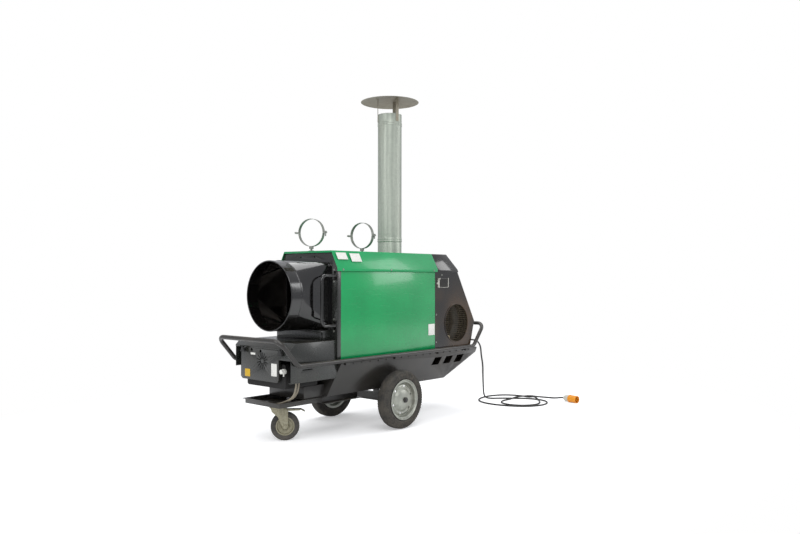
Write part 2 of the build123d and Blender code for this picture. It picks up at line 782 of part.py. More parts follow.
def bay_top():
    # Cover sheet of the bay: flat top, chamfer and front, folded from one piece
    reach = bay_half_width
    front = bay_front_x
    outer = [(body_front_x, bay_top_z + sheet), (front + bay_chamfer - 0.6, bay_top_z + sheet),
             (front - sheet, bay_top_z - bay_chamfer + 0.6), (front - sheet, bay_top_z - bay_chamfer - 8),
             (front, bay_top_z - bay_chamfer - 8), (front, bay_top_z - bay_chamfer),
             (front + bay_chamfer, bay_top_z), (body_front_x, bay_top_z)]
    return side_extrusion(outer, -reach, reach)


def cover_outline():
    r = 16.0
    top = bay_top_z - bay_chamfer - 8 - seat_gap
    return [(cover_far_y, top), (-bay_half_width, top), (-bay_half_width, cover_wing_z),
            (cover_near_y, cover_wing_z), (cover_near_y, cover_bottom_z + r), (cover_near_y + r * 0.3,
            cover_bottom_z + r * 0.3), (cover_near_y + r, cover_bottom_z), (cover_far_y - r, cover_bottom_z),
            (cover_far_y - r * 0.3, cover_bottom_z + r * 0.3), (cover_far_y, cover_bottom_z + r)]


def burner_cover():
    # Pressed front cover with vent slots, held by two knobs
    x0 = bay_front_x - sheet - seat_gap
    face = make_face(Polyline(*cover_outline(), close=True))
    outer = Pos(x0, 0, 0) * extrude(Plane.YZ * face, amount=sheet)
    lower = [(cover_far_y, cover_wing_z), (cover_near_y, cover_wing_z), (cover_near_y, cover_bottom_z + 16),
             (cover_near_y + 16, cover_bottom_z), (cover_far_y - 16, cover_bottom_z),
             (cover_far_y, cover_bottom_z + 16)]
    rim_face = make_face(Polyline(*lower, close=True))
    inner_face = offset(rim_face, amount=-sheet, kind=Kind.INTERSECTION)
    fold = extrude(Plane.YZ * (rim_face - inner_face), amount=16)
    fold -= block(-1, 17, cover_near_y + 18, cover_far_y - 18, cover_wing_z - 3, cover_wing_z + 1)
    solid = outer + Pos(x0, 0, 0) * fold
    for index in range(sun_slots):
        turn = index * 360 / sun_slots
        middle = (sun_inner_r + sun_outer_r) / 2
        slot = Pos(x0, sun_y, sun_z) * Rot(turn, 0, 0) * Pos(0, 0, middle)
        solid -= slot * Box(4 * sheet, sun_slot_width, sun_outer_r - sun_inner_r)
    for y, z in ((93, 509), (14, 505)):
        solid -= rod_x(x0 - sheet, x0 + 2 * sheet, y, z, 8)
    for y in (knob_far_y, knob_near_y):
        solid -= rod_x(x0 - sheet, x0 + 2 * sheet, y, knob_z, stud_r + running_gap)
    return solid


def cover_knob(y):
    x0 = bay_front_x - sheet - 2 * seat_gap
    with BuildSketch() as star:
        Circle(knob_r * 0.62)
        with PolarLocations(knob_r * 0.66, 3):
            SlotOverall(knob_r * 0.7, knob_r * 0.42)
    head = extrude(star.sketch, amount=knob_depth * 0.6)
    head += Pos(0, 0, knob_depth * 0.3) * Cylinder(knob_r * 0.4, knob_depth * 0.6)
    boss = Pos(0, 0, -knob_depth * 0.2) * Cylinder(knob_r * 0.36, knob_depth * 0.4)
    stud = Pos(0, 0, -knob_depth * 0.4 - 4) * Cylinder(stud_r, 8)
    knob = head + boss + stud
    return Pos(x0 - knob_depth * 0.4, y, knob_z) * Rot(0, -90, 0) * knob


def burner_body():
    body = block(burner_front_x, burner_rear_x, burner_near_y, burner_far_y, burner_bottom_z, burner_z - 50)
    body = fillet(body.edges().filter_by(Axis.X), 14)
    neck = block(burner_rear_x - 150, burner_rear_x, -110, 110, burner_z - 50, burner_z + 58)
    neck = fillet(neck.edges().filter_by(Axis.X).group_by(Axis.Z)[-1], 40)
    fan_case = rod_x(burner_rear_x - 34, burner_rear_x, 0, burner_z - 40, 105)
    fan_case &= block(burner_front_x, burner_rear_x, -170, 150, burner_bottom_z, burner_z + 60)
    motor = rod_x(burner_front_x + 8, burner_rear_x - 150, 40, burner_z - 60, 46)
    return body + neck + fan_case + motor


def blast_tube():
    tube = rod_x(burner_rear_x, chamber_front_x + 20, 0, burner_z, burner_tube_r)
    tube -= rod_x(burner_rear_x + 6, chamber_front_x + 20, 0, burner_z, burner_tube_r - 2)
    flange = rod_x(body_front_x - 6, body_front_x, 0, burner_z, burner_tube_r + 14)
    flange -= rod_x(body_front_x - 6, body_front_x, 0, burner_z, burner_tube_r - 1)
    return tube + flange


def fuel_filter():
    x, y, z = burner_front_x - 14, burner_near_y + 6, 405
    head = rod_x(x, burner_front_x, y, z, 14.5)
    bowl = rod_x(x - 14, x, y, z, 12)
    elbow = rod_z(z - 26, z, x + 6, y, 4)
    return head + bowl + elbow


def chamber():
    shell = rod_x(chamber_front_x, chamber_rear_x, 0, burner_z, chamber_r)
    shell -= rod_x(chamber_front_x + 4, chamber_rear_x - 4, 0, burner_z, chamber_r - 4)
    shell -= rod_x(chamber_front_x - 1, chamber_front_x + 5, 0, burner_z, burner_tube_r + 0.3)
    return shell


def header_box(x0, x1):
    z0, z1 = header_bottom_z, header_top_z
    wide = header_half_width
    box = block(x0, x1, -wide, wide, z0, z1)
    return box - block(x0 + 2, x1 - 2, -wide + 2, wide - 2, z0 + 2, z1 - 2)


def exchanger():
    front_x0 = chamber_front_x + 60
    front_x1 = front_x0 + header_depth
    rear_x0 = flue_x - flue_r - 10
    rear_x1 = flue_x + flue_r + 10
    body = header_box(front_x0, front_x1) + header_box(rear_x0, rear_x1)
    middle = (front_x0 + front_x1) / 2
    riser = rod_z(burner_z + chamber_r - 12, header_bottom_z + 2, middle, 0, 40)
    bore = rod_z(burner_z + chamber_r - 12, header_bottom_z + 2, middle, 0, 38)
    saddle = rod_x(middle - 50, middle + 50, 0, burner_z, chamber_r)
    body += riser - saddle
    for row in range(3):
        for column in range(4):
            y = (column - 1.5) * 82
            z = header_bottom_z + 50 + row * 88
            body += rod_x(front_x1 - 1, rear_x0 + 1, y, z, exchange_tube_r)
            body -= rod_x(front_x1 - 3, rear_x0 + 3, y, z, exchange_tube_r - 2)
    body -= bore
    body -= rod_z(header_top_z - 3, header_top_z + 1, flue_x, 0, flue_r - 2)
    # Legs that stand the rear header on the chamber
    for y in (-90, 90):
        leg = block(rear_x0 + 40, rear_x0 + 60, y - 12, y + 12, burner_z, header_bottom_z)
        body += leg - rod_x(rear_x0, rear_x1, 0, burner_z, chamber_r)
    return body


def pipe_ring(z, radius, section_r, bore):
    bead = Pos(flue_x, 0, z) * Torus(radius, section_r)
    return bead - rod_z(z - 2 * section_r, z + 2 * section_r, flue_x, 0, bore)


def flue_lower():
    bore = flue_r - flue_wall
    stub = rod_z(header_top_z, flue_joint_z, flue_x, 0, flue_r)
    spigot = rod_z(flue_joint_z, flue_joint_z + flue_socket, flue_x, 0, bore - seat_gap)
    pipe = stub + spigot
    flashing = rod_z(roof_top_z, roof_top_z + 2, flue_x, 0, flue_r + 16)
    pipe += flashing
    pipe -= rod_z(header_top_z, flue_joint_z + flue_socket, flue_x, 0, bore - 1.2)
    pipe += pipe_ring(roof_top_z + 5, flue_r, 4, bore - 1.2)
    return pipe


def flue_pipe():
    bore = flue_r - flue_wall
    pipe = rod_z(flue_joint_z, flue_top_z, flue_x, 0, flue_r)
    pipe -= rod_z(flue_joint_z, flue_top_z, flue_x, 0, bore)
    for z in (flue_joint_z + 6, flue_joint_z + 16, flue_top_z - 62, flue_top_z - 74):
        pipe += pipe_ring(z, flue_r, 2.5, bore)
    return pipe


def flue_cap():
    outer = Pos(flue_x, 0, cap_rim_z + cap_rise / 2) * Cone(cap_r, 8, cap_rise)
    inner = Pos(flue_x, 0, cap_rim_z + cap_rise / 2 - 1.6) * Cone(cap_r, 8, cap_rise)
    cap = outer - inner
    for index in range(3):
        turn = 20 + index * 120
        top = cap_rim_z + cap_rise * (1 - (flue_r + 1) / cap_r) - 2
        strap = block(flue_r, flue_r + 2, -strut_width / 2, strut_width / 2, flue_top_z - 50, top)
        foot = block(flue_r, flue_r + 26, -strut_width / 2, strut_width / 2, top - 2, top + 3)
        holder = Pos(flue_x, 0, 0) * Rot(0, 0, turn) * (strap + foot)
        under = Pos(flue_x, 0, cap_rim_z + cap_rise / 2 - 1) * Cone(cap_r, 8, cap_rise)
        cap += holder & (under + block(flue_x - cap_r, flue_x + cap_r, -cap_r, cap_r, flue_top_z - 60, cap_rim_z))
    return cap


def fan_blade_profile():
    # Forward-curved blade between the inner and outer circle
    outer = fan_wheel_r - 2
    inner = outer - fan_blade_depth
    thick = 1.6
    with BuildSketch() as blade:
        with BuildLine():
            Polyline((inner, 0), (inner + 8, 5), (outer - 9, 7), (outer, 2), (outer, 2 + thick),
                     (outer - 9, 7 + thick), (inner + 8, 5 + thick), (inner, thick), close=True)
        make_face()
    return blade.sketch


def blower_wheel():
    half = fan_wheel_width / 2
    profile = fan_blade_profile()
    blade = extrude(profile, amount=half, both=True)
    outer = fan_wheel_r
    inner = outer - fan_blade_depth - 2
    wheel = Cylinder(inner + 6, 4) + Cylinder(fan_hub_r, 60)
    for z in (-half, half):
        wheel += Pos(0, 0, z) * (Cylinder(outer, 4) - Cylinder(inner, 4))
    wheel += Cylinder(outer, 4) - Cylinder(inner, 4)
    for index in range(fan_blade_count):
        wheel += Rot(0, 0, index * 360 / fan_blade_count) * blade
    shaft = Cylinder(fan_shaft_r, 2 * scroll_half_width + 60)
    return Pos(fan_x, 0, fan_z) * Rot(90, 0, 0) * (wheel + shaft)


def scroll_face(extra):
    # Spiral outline that opens forwards into the casing
    steps = 10
    points = []
    for index in range(steps + 1):
        share = index / steps
        angle = radians(-60 + share * 270)
        radius = scroll_start_r + extra + scroll_growth * share
        points.append((fan_x + radius * cos(angle), fan_z + radius * sin(angle)))
    mouth_x = panel_rear_x + 6 - extra
    end = points[-1]
    curve = Spline(*points)
    outline = [Line(end, (mouth_x, end[1])), Line((mouth_x, end[1]), (mouth_x, fan_z - 150 - extra)),
               Line((mouth_x, fan_z - 150 - extra), points[0])]
    return make_face([curve] + outline)


def blower_housing():
    wide = scroll_half_width
    outer = extrude(Plane.XZ * scroll_face(0), amount=wide, both=True)
    inner = extrude(Plane.XZ * scroll_face(-2.0), amount=wide - 2, both=True)
    inner += block(panel_rear_x - 20, fan_x - 150, -wide + 2, wide - 2, fan_z - 140, fan_z + 60)
    case = outer - inner
    case -= rod_y(-wide - 2, wide + 2, fan_x, fan_z, fan_wheel_r - 6)
    for y in (-wide, wide - 24):
        case += block(panel_rear_x + 18, fan_x - intake_r - 6, y, y + 24, deck_z, fan_z - 148)
    return case


def bearing_bracket():
    # A three-armed bearing holder on each side of the blower
    wide = scroll_half_width
    parts = []
    arm = block(-7, 7, -6, 0, 0, fan_wheel_r + 14)
    holder = Pos(0, -6, 0) * rod_y(0, 18, 0, 0, 24)
    for index in range(3):
        holder += Rot(0, 90 + index * 120, 0) * Pos(0, 6, 0) * arm
    holder = Pos(fan_x, -wide - 6, fan_z) * holder
    holder -= rod_y(-wide - 40, -wide + 20, fan_x, fan_z, fan_shaft_r + running_gap)
    return holder


def motor():
    # Electric motor in the far intake, on the blower's own shaft
    y0 = scroll_half_width + 12
    body = rod_y(y0, y0 + 76, fan_x, fan_z, 50)
    body = fillet(body.edges().sort_by(Axis.Y)[-1], 8)
    for index in range(16):
        turn = Pos(fan_x, 0, fan_z) * Rot(0, index * 22.5, 0)
        body += turn * block(-1.5, 1.5, y0 + 14, y0 + 62, 49, 57)
    return body - rod_y(y0 - 1, scroll_half_width + 31, fan_x, fan_z, fan_shaft_r + running_gap)


def intake_guard():
    y0 = -body_half_width + sheet + seat_gap
    w = guard_wire
    outer = intake_r + 12
    ring = rod_y(y0, y0 + 2 * w, fan_x, fan_z, outer) - rod_y(y0, y0 + 2 * w, fan_x, fan_z, outer - 8)
    count = int(outer / guard_pitch)
    guard = ring
    for index in range(-count, count + 1):
        offset_mm = index * guard_pitch
        half = sqrt((outer - 4) ** 2 - offset_mm ** 2)
        guard += block(fan_x + offset_mm - w / 2, fan_x + offset_mm + w / 2, y0, y0 + w, fan_z - half, fan_z + half)
        guard += block(fan_x - half, fan_x + half, y0 + w, y0 + 2 * w, fan_z + offset_mm - w / 2,
                       fan_z + offset_mm + w / 2)
    return guard


def socket_frame():
    y1 = -body_half_width
    w, h = socket_width / 2, socket_height / 2
    frame = block(-w, w, y1 - 10, y1, -h, h)
    frame = fillet(frame.edges().filter_by(Axis.Y), 6)
    frame -= block(-w + socket_wall, w - socket_wall, y1 - 10, y1, -h + socket_wall, h - socket_wall)
    for side in (-1, 1):
        lug = [(side * (w - 6), -12), (side * (w + 12), 0), (side * (w - 6), 12)]
        frame += side_extrusion(lug, y1 - 4, y1)
    insert = block(-w + socket_wall, w - socket_wall, y1 - 2, y1 + 26, -h + socket_wall, h - socket_wall)
    insert -= block(-w + socket_wall + 6, w - socket_wall - 6, y1 - 2, y1 + 20, -h + socket_wall + 5,
                    h - socket_wall - 5)
    return Pos(socket_x, 0, socket_z) * (frame + insert)


def socket_flap():
    # Cover flap, hinged on a pin along the frame's top edge
    y1 = -body_half_width - 10
    w, h = socket_width / 2, socket_height / 2
    pin_z = h + 3.5
    leaf = block(-w + 10, w - 10, y1 - 3 - seat_gap, y1 - seat_gap, -h + 3, pin_z + 2)
    leaf += rod_x(-w + 10, w - 10, y1 - 2 - seat_gap, pin_z, 2.8)
    leaf -= rod_x(-w, w, y1 - 2 - seat_gap, pin_z, 1.5 + running_gap)
    return Pos(socket_x, 0, socket_z) * leaf


def socket_hinge():
    y1 = -body_half_width - 10
    w, h = socket_width / 2, socket_height / 2
    pin_z = h + 3.5
    pin = rod_x(-w + 4, w - 4, y1 - 2 - seat_gap, pin_z, 1.5)
    for x in (-w + 4, w - 9.5):
        pin += block(x, x + 5.2, y1 - 4.6, y1 + 10, h - 2, pin_z + 2.5)
    return Pos(socket_x, 0, socket_z) * pin


def clip_place(solid, x, turn):
    return Pos(x, 0, 0) * Rot(0, 0, turn) * solid


def half_band(upper):
    outer = clip_r + clip_band
    w = clip_width / 2
    ring = rod_x(-w, w, 0, clip_z, outer) - rod_x(-w, w, 0, clip_z, clip_r)
    gap = 0.4
    if upper:
        ring &= block(-w, w, -outer, outer, clip_z + gap, clip_z + outer)
    else:
        ring &= block(-w, w, -outer, outer, clip_z - outer, clip_z - gap)
    return ring


def clip_stud(x):
    # Foot and post that carry a clip on the roof
    foot = rod_z(roof_top_z, roof_top_z + 4, 0, 0, 16)
    post = rod_z(roof_top_z, clip_z - clip_r - clip_band - 3, 0, 0, clip_stud_r)
    return Pos(x, 0, 0) * (foot + post)


def clip_lower(x, turn):
    outer = clip_r + clip_band
    w = clip_width / 2
    band = half_band(False)
    for side in (-1, 1):
        y0 = side * (outer - 1.5)
        y1 = side * (outer + clip_ear - 8)
        ear = block(-w, w, min(y0, y1), max(y0, y1), clip_z - 4, clip_z - 0.4)
        band += ear
    # Hinge eyes on the far side and a boss that turns on the post
    eye = rod_x(-w, -w / 3, outer + clip_ear - 5, clip_z, 6) + rod_x(w / 3, w, outer + clip_ear - 5, clip_z, 6)
    eye -= rod_x(-w, w, outer + clip_ear - 5, clip_z, clip_pin_r)
    band -= rod_x(-w / 3, w / 3, outer + clip_ear - 5, clip_z, 6.4)
    pin = rod_x(-w - 2, w + 2, outer + clip_ear - 5, clip_z, clip_pin_r)
    boss = rod_z(clip_z - outer - 14, clip_z - outer + 2, 0, 0, 13)
    boss -= rod_x(-w - 20, w + 20, 0, clip_z, clip_r)
    boss -= rod_z(clip_z - outer - 15, clip_z - outer - 3 + 0.3, 0, 0, clip_stud_r + running_gap)
    bolt = rod_z(clip_z - 22, clip_z - 0.4, 0, -outer - 12, 3.5)
    return clip_place(band + eye + pin + boss + bolt, x, turn)


def clip_upper(x, turn):
    outer = clip_r + clip_band
    w = clip_width / 2
    band = half_band(True)
    for side in (-1, 1):
        y0 = side * (outer - 1.5)
        y1 = side * (outer + clip_ear - 8)
        band += block(-w, w, min(y0, y1), max(y0, y1), clip_z + 0.4, clip_z + 4)
    eye = rod_x(-w / 3 + 0.3, w / 3 - 0.3, outer + clip_ear - 5, clip_z, 6)
    web = block(-w / 3 + 0.3, w / 3 - 0.3, outer + clip_ear - 12, outer + clip_ear - 5, clip_z + 0.4, clip_z + 4)
    gap = rod_x(-w - 1, -w / 3 + 0.3, outer + clip_ear - 5, clip_z, 6.4)
    gap += rod_x(w / 3 - 0.3, w + 1, outer + clip_ear - 5, clip_z, 6.4)
    solid = band + eye + web
    solid -= gap
    solid -= rod_x(-w, w, outer + clip_ear - 5, clip_z, clip_pin_r + running_gap)
    solid += rod_z(clip_z + 4, clip_z + 9, 0, -outer - 12, 6)
    return clip_place(solid, x, turn)


def gland():
    # Cable gland on the folded rear panel, pointing back
    x0 = gland_x()
    nut = Pos(x0 + 12.5, gland_y, gland_z) * Rot(0, 90, 0) * extrude(RegularPolygon(gland_r, 6), amount=8, both=True)
    dome = Pos(x0 + 27.5, gland_y, gland_z) * Rot(0, 90, 0) * Cone(gland_r - 1, cable_r + 3, 14)
    stem = rod_x(x0 - 14, x0 + 14, gland_y, gland_z, gland_r - 4.2)
    body = nut + dome + stem
    return body - rod_x(x0 - 14, x0 + 40, gland_y, gland_z, cable_r + seat_gap)


def gland_x():
    share = (gland_z - deck_z) / (slope_bottom_z - deck_z)
    return rear_foot_x + share * (slope_bottom_x - rear_foot_x)


def cable_route():
    floor = cable_r
    over = 3.3 * cable_r
    x0 = gland_x() + 26
    y0 = gland_y
    return [
        (x0, y0, gland_z), (x0 + 50, y0, gland_z - 1), (x0 + 108, y0 + 1, gland_z - 16),
        (x0 + 152, y0 + 6, gland_z - 56), (x0 + 176, y0 + 18, gland_z - 122), (1032, -186, 285),
        (1058, -168, 205), (1094, -146, 125), (1142, -116, 58), (1200, -92, 18), (1262, -98, floor),
        (1322, -150, floor), (1385, -225, floor), (1438, -305, floor), (1460, -395, floor),
        (1425, -480, floor), (1345, -530, floor), (1250, -540, floor), (1160, -500, floor),
        (1095, -425, floor), (1060, -325, floor), (1055, -220, floor), (1090, -120, floor),
        (1165, -52, floor), (1265, -22, floor), (1365, -22, floor), (1450, -60, floor),
        (1505, -130, floor), (1518, -210, floor), (1507, -280, floor), (1484, -334, over),
        (1434, -390, over), (1384, -446, floor), (1310, -488, floor), (1225, -490, floor),
        (1155, -445, floor), (1120, -370, floor), (1132, -290, floor), (1188, -235, floor),
        (1262, -220, floor), (1328, -230, floor + 2), (1384, -246, over), (1442, -264, over),
        (1500, -292, over), (1552, -336, floor + 3), (1586, -396, floor), (1584, -442, 7),
        (1562, -486, 14), (1541, -523, 23),
    ]


def plug_frame():
    # Where the cable ends in the plug, and the way the plug points
    direction = Vector(-0.17, -0.985, 0).normalized()
    start = Vector(1536, -556, plug_r + 1.2)
    return Plane(origin=start, z_dir=direction, x_dir=(0, 0, 1))


def corner_radii(points):
    radii = []
    for before, point, after in zip(points, points[1:], points[2:]):
        a = Vector(*point) - Vector(*before)
        b = Vector(*after) - Vector(*point)
        turn = radians(a.get_angle(b))
        radii.append(0.45 * min(a.length, b.length) / tan(turn / 2))
    return radii


def cord(points, radius, label):
    radii = corner_radii(points)
    print(label, "radii", [round(r) for r in radii])
    path = FilletPolyline(*points, radius=radii)
    start = Plane(origin=path @ 0, z_dir=path % 0)
    tube = sweep(start * Circle(radius), path=path)
    print(label, "length", round(path.length, 1), "volume ratio", round(tube.volume / (pi * radius ** 2 * path.length), 5))
    return tube


def cable():
    end = plug_frame().origin
    points = cable_route() + [(end.X, end.Y, end.Z)]
    return cord(points, cable_r, "mains_cable")


def plug_body():
    # Rear housing with a clamping collar
    rings = [(0, cable_r + 4, 12), (12, plug_rear_r - 4, 8), (20, plug_rear_r, 34)]
    solid = None
    for start, radius, length in rings:
        piece = Pos(0, 0, start + length / 2) * Cylinder(radius, length)
        solid = piece if solid is None else solid + piece
    solid -= Pos(0, 0, 2) * Cylinder(cable_r + 1, 4)
    return plug_frame() * solid


def plug_front():
    body = Pos(0, 0, 54 + 34) * Cylinder(plug_r, 68)
    body -= Pos(0, 0, 54 + 34 + 18) * Cylinder(plug_r - 3.5, 60)
    body += Pos(0, 0, 54 + 4) * Cylinder(plug_r + 1, 8)
    for index in range(3):
        body += Rot(0, 0, 90 + index * 120) * Pos(12, 0, 54 + 40) * Cylinder(2.5, 60)
    return plug_frame() * body


def hose_routes():
    low = tray_bottom_z + plate + 5.3
    return [
        [(-742, burner_near_y, 394), (-742, -186, 394), (-742, -197, 383), (-742, -202, 364), (-742, -203, 338),
         (-742, -198, 306), (-743, -186, 274), (-750, -160, 248), (-763, -122, 231), (-778, -78, low + 3),
         (-790, -28, low)],
        [(-722, burner_near_y, 392), (-722, -186, 392), (-722, -197, 381), (-722, -202, 362), (-722, -202, 336),
         (-722, -196, 304), (-724, -182, 274), (-731, -156, 249), (-743, -118, 231), (-757, -72, low + 3),
         (-767, -22, low)],
    ]


def build_all():
    save("hull", hull())
    save("base_deck", deck())
    save("castor_tray", tray())
    save("chassis_channels", channel(-1), channel(1))
    save("axle_beam", axle(), axle_nut(-1), axle_nut(1))
    rail = side_rail()
    save("side_rails", rail, mirrored(rail))
    save("front_handle", push_handle(rail_front_x, front_handle_foot_x, front_handle_x, front_handle_z))
    save("rear_handle", push_handle(rail_rear_x, rear_handle_foot_x, rear_handle_x, rear_handle_z))
    for name, y in (("left", -wheel_y), ("right", wheel_y)):
        save("tyre_" + name, tyre(y))
        save("rim_" + name, rim(y))
    save("castor_plate", castor_top())
    save("castor_fork", castor_fork())
    save("castor_tyre", castor_tyre())
    save("castor_rim", castor_rim())
    save("brake_pedal", brake_pedal())
    save("front_panel", front_panel())
    panel = side_panel()
    save("side_panel_left", panel)
    save("side_panel_right", mirrored(panel))
    rear = rear_side()
    save("rear_side_left", rear)
    save("rear_side_right", mirrored(rear))
    save("rear_panel", rear_panel())
    save("roof_front", roof_front())
    save("roof_rear", roof_rear())
    save("outlet_cone", outlet_cone())
    save("outlet_collar", outlet_collar())
    save("step_box", step_box())
    bar = grab_bar()
    save("grab_bars", bar, mirrored(bar))
    save("panel_screws", *panel_screws())
    save("burner_bay_left", bay_side(-1))
    save("burner_bay_right", bay_side(1))
    save("burner_bay_top", bay_top())
    save("burner_cover", burner_cover())
    save("cover_knob_left", cover_knob(knob_near_y))
    save("cover_knob_right", cover_knob(knob_far_y))
    save("burner_body", burner_body())
    save("blast_tube", blast_tube())
    save("fuel_filter", fuel_filter())
    save("combustion_chamber", chamber())
    save("heat_exchanger", exchanger())
    save("flue_lower", flue_lower())
    save("flue_pipe", flue_pipe())
    save("flue_cap", flue_cap())
    save("blower_wheel", blower_wheel())
    bracket = bearing_bracket()
    save("blower_housing", blower_housing(), bracket, mirrored(bracket))
    save("blower_motor", motor())
    guard = intake_guard()
    save("intake_guards", guard, mirrored(guard))
    save("socket_frame", socket_frame() + socket_hinge())
    save("socket_flap", socket_flap())
    save("clip_studs", clip_stud(clip_front_x), clip_stud(clip_rear_x))
    for name, x, turn in (("front", clip_front_x, clip_front_turn), ("rear", clip_rear_x, clip_rear_turn)):
        save("clip_lower_" + name, clip_lower(x, turn))
        save("clip_upper_" + name, clip_upper(x, turn))
    save("cable_gland", gland())
    save("mains_cable", cable())
    save("plug_body", plug_body())
    save("plug_front", plug_front())
    first, second = hose_routes()
    save("fuel_hoses", cord(first, 5.0, "hose"), cord(second, 5.0, "hose"))


build_all()
os.makedirs("parts", exist_ok=True)
for node, solids in nodes.items():
    shape = solids[0] if len(solids) == 1 else Compound(children=solids)
    export_step(shape, "parts/" + node + ".step")
print(len(nodes), "nodes, origin at", origin_x)
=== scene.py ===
import json
import math

import bmesh
import bpy
from mathutils import Matrix, Vector


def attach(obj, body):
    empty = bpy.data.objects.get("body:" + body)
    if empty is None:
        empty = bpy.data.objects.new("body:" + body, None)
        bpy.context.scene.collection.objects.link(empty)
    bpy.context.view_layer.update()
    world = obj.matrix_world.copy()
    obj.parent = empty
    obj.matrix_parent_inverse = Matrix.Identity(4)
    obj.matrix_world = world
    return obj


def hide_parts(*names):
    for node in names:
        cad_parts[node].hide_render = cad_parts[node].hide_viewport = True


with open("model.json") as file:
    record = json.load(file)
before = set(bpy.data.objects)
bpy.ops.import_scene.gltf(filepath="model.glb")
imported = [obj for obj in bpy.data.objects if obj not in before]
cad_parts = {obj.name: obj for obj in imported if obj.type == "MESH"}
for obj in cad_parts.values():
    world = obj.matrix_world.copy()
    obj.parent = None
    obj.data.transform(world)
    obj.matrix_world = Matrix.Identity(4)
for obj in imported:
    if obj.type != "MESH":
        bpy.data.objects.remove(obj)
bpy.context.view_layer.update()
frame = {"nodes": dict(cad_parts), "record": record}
nodes = frame["nodes"]
shift = -0.0055  # the part's zero stands this far behind the rear axle
print("frame loaded:", len(nodes), "nodes")


def linear(red, green, blue):
    # screen values 0-255 to the values a shader wants
    parts = []
    for value in (red, green, blue):
        value = value / 255
        parts.append(value / 12.92 if value <= 0.04045 else ((value + 0.055) / 1.055) ** 2.4)
    return (*parts, 1.0)


# Camera and light

view = {
    "place": (-3.4155 + shift, -3.2847, 0.9143),
    "yaw": 0.8520,
    "pitch": 0.01330,
    "roll": 0.00106,
    "lens": 33.66,
}


def addCamera():
    data = bpy.data.cameras.new("camera")
    data.sensor_width = 36
    data.lens = view["lens"]
    data.clip_end = 60
    camera = bpy.data.objects.new("camera", data)
    bpy.context.collection.objects.link(camera)
    camera.location = view["place"]
    ahead = Vector((math.sin(view["yaw"]) * math.cos(view["pitch"]),
                    math.cos(view["yaw"]) * math.cos(view["pitch"]), math.sin(view["pitch"])))
    turn = ahead.to_track_quat("-Z", "Y").to_matrix() @ Matrix.Rotation(view["roll"], 3, "Z")
    camera.rotation_euler = turn.to_euler()
    bpy.context.scene.camera = camera


lamps = {
    "key": {"place": (-2.6, -3.4, 4.4), "aim": (0.0, 0.0, 0.7), "size": 3.6, "watts": 120},
    "front": {"place": (-5.2, 0.2, 2.4), "aim": (-0.5, 0.0, 0.6), "size": 2.2, "watts": 60},
    "rear": {"place": (3.4, -3.0, 2.6), "aim": (0.4, 0.0, 0.5), "size": 2.0, "watts": 46},
    "top": {"place": (0.3, 1.0, 4.8), "aim": (0.0, 0.0, 0.6), "size": 3.6, "watts": 110},
}


def addLamps():
    for name, lamp in lamps.items():
        data = bpy.data.lights.new(name, "AREA")
        data.energy = lamp["watts"]
        data.size = lamp["size"]
        light = bpy.data.objects.new(name, data)
        bpy.context.collection.objects.link(light)
        light.location = lamp["place"]
        aim = Vector(lamp["aim"]) - Vector(lamp["place"])
        light.rotation_euler = aim.to_track_quat("-Z", "Y").to_euler()


# Shader maths


class Wire:
    # one socket; sums of wires add their own Math nodes
    def __init__(self, paint, socket):
        self.paint = paint
        self.socket = socket

    def math(self, operation, *values):
        return self.paint.node("ShaderNodeMath", {"operation": operation}, *values)

    def __add__(self, other):
        return self.math("ADD", self, other)

    def __radd__(self, other):
        return self.math("ADD", other, self)

    def __sub__(self, other):
        return self.math("SUBTRACT", self, other)

    def __rsub__(self, other):
        return self.math("SUBTRACT", other, self)

    def __mul__(self, other):
        return self.math("MULTIPLY", self, other)

    def __rmul__(self, other):
        return self.math("MULTIPLY", other, self)

    def root(self):
        return self.math("SQRT", self)

    def step(self, low, high):
        # 0 at low and 1 at high, with soft ends
        smooth = {"interpolation_type": "SMOOTHSTEP"}
        return self.paint.node("ShaderNodeMapRange", smooth, self, low, high, 0.0, 1.0)


class Paint:
    # one material and the ways to add to it
    def __init__(self, name):
        self.material = bpy.data.materials.new(name)
        self.material.use_nodes = True
        self.tree = self.material.node_tree
        self.tree.nodes.clear()
        self.place = self.node("ShaderNodeTexCoord", {"out": "Object"})

    def node(self, kind, settings=None, *values, **named):
        item = self.tree.nodes.new(kind)
        out = 0
        for key, value in (settings or {}).items():
            if key == "out":
                out = value
            else:
                setattr(item, key, value)
        for index, value in enumerate(values):
            self.feed(item.inputs[index], value)
        for key, value in named.items():
            self.feed(item.inputs[key.replace("_", " ")], value)
        return Wire(self, item.outputs[out]) if item.outputs else None

    def feed(self, socket, value):
        if isinstance(value, Wire):
            self.tree.links.new(value.socket, socket)
        elif value is not None:
            socket.default_value = value

    def mix(self, factor, first, second):
        item = self.tree.nodes.new("ShaderNodeMix")
        item.data_type = "RGBA"
        self.feed(item.inputs[0], factor)
        self.feed(item.inputs[6], first)
        self.feed(item.inputs[7], second)
        return Wire(self, item.outputs[2])

    def stretched(self, scale):
        return self.node("ShaderNodeMapping", {}, self.place, Scale=scale)

    def noise(self, scale, detail=3.0, roughness=0.55, vector=None):
        return self.node("ShaderNodeTexNoise", {}, Vector=vector or self.place, Scale=scale, Detail=detail,
                         Roughness=roughness)

    def axis(self, name):
        return self.node("ShaderNodeSeparateXYZ", {"out": name}, self.place)

    def facing(self, name):
        normal = self.node("ShaderNodeTexCoord", {"out": "Normal"})
        return self.node("ShaderNodeSeparateXYZ", {"out": name}, normal)

    def bump(self, height, strength, distance):
        return self.node("ShaderNodeBump", {}, Strength=strength, Distance=distance, Height=height)

    def finish(self, **sockets):
        shader = self.node("ShaderNodeBsdfPrincipled", {})
        for key, value in sockets.items():
            self.feed(shader.socket.node.inputs[key.replace("_", " ")], value)
        self.node("ShaderNodeOutputMaterial", {}, shader)
        return self.material


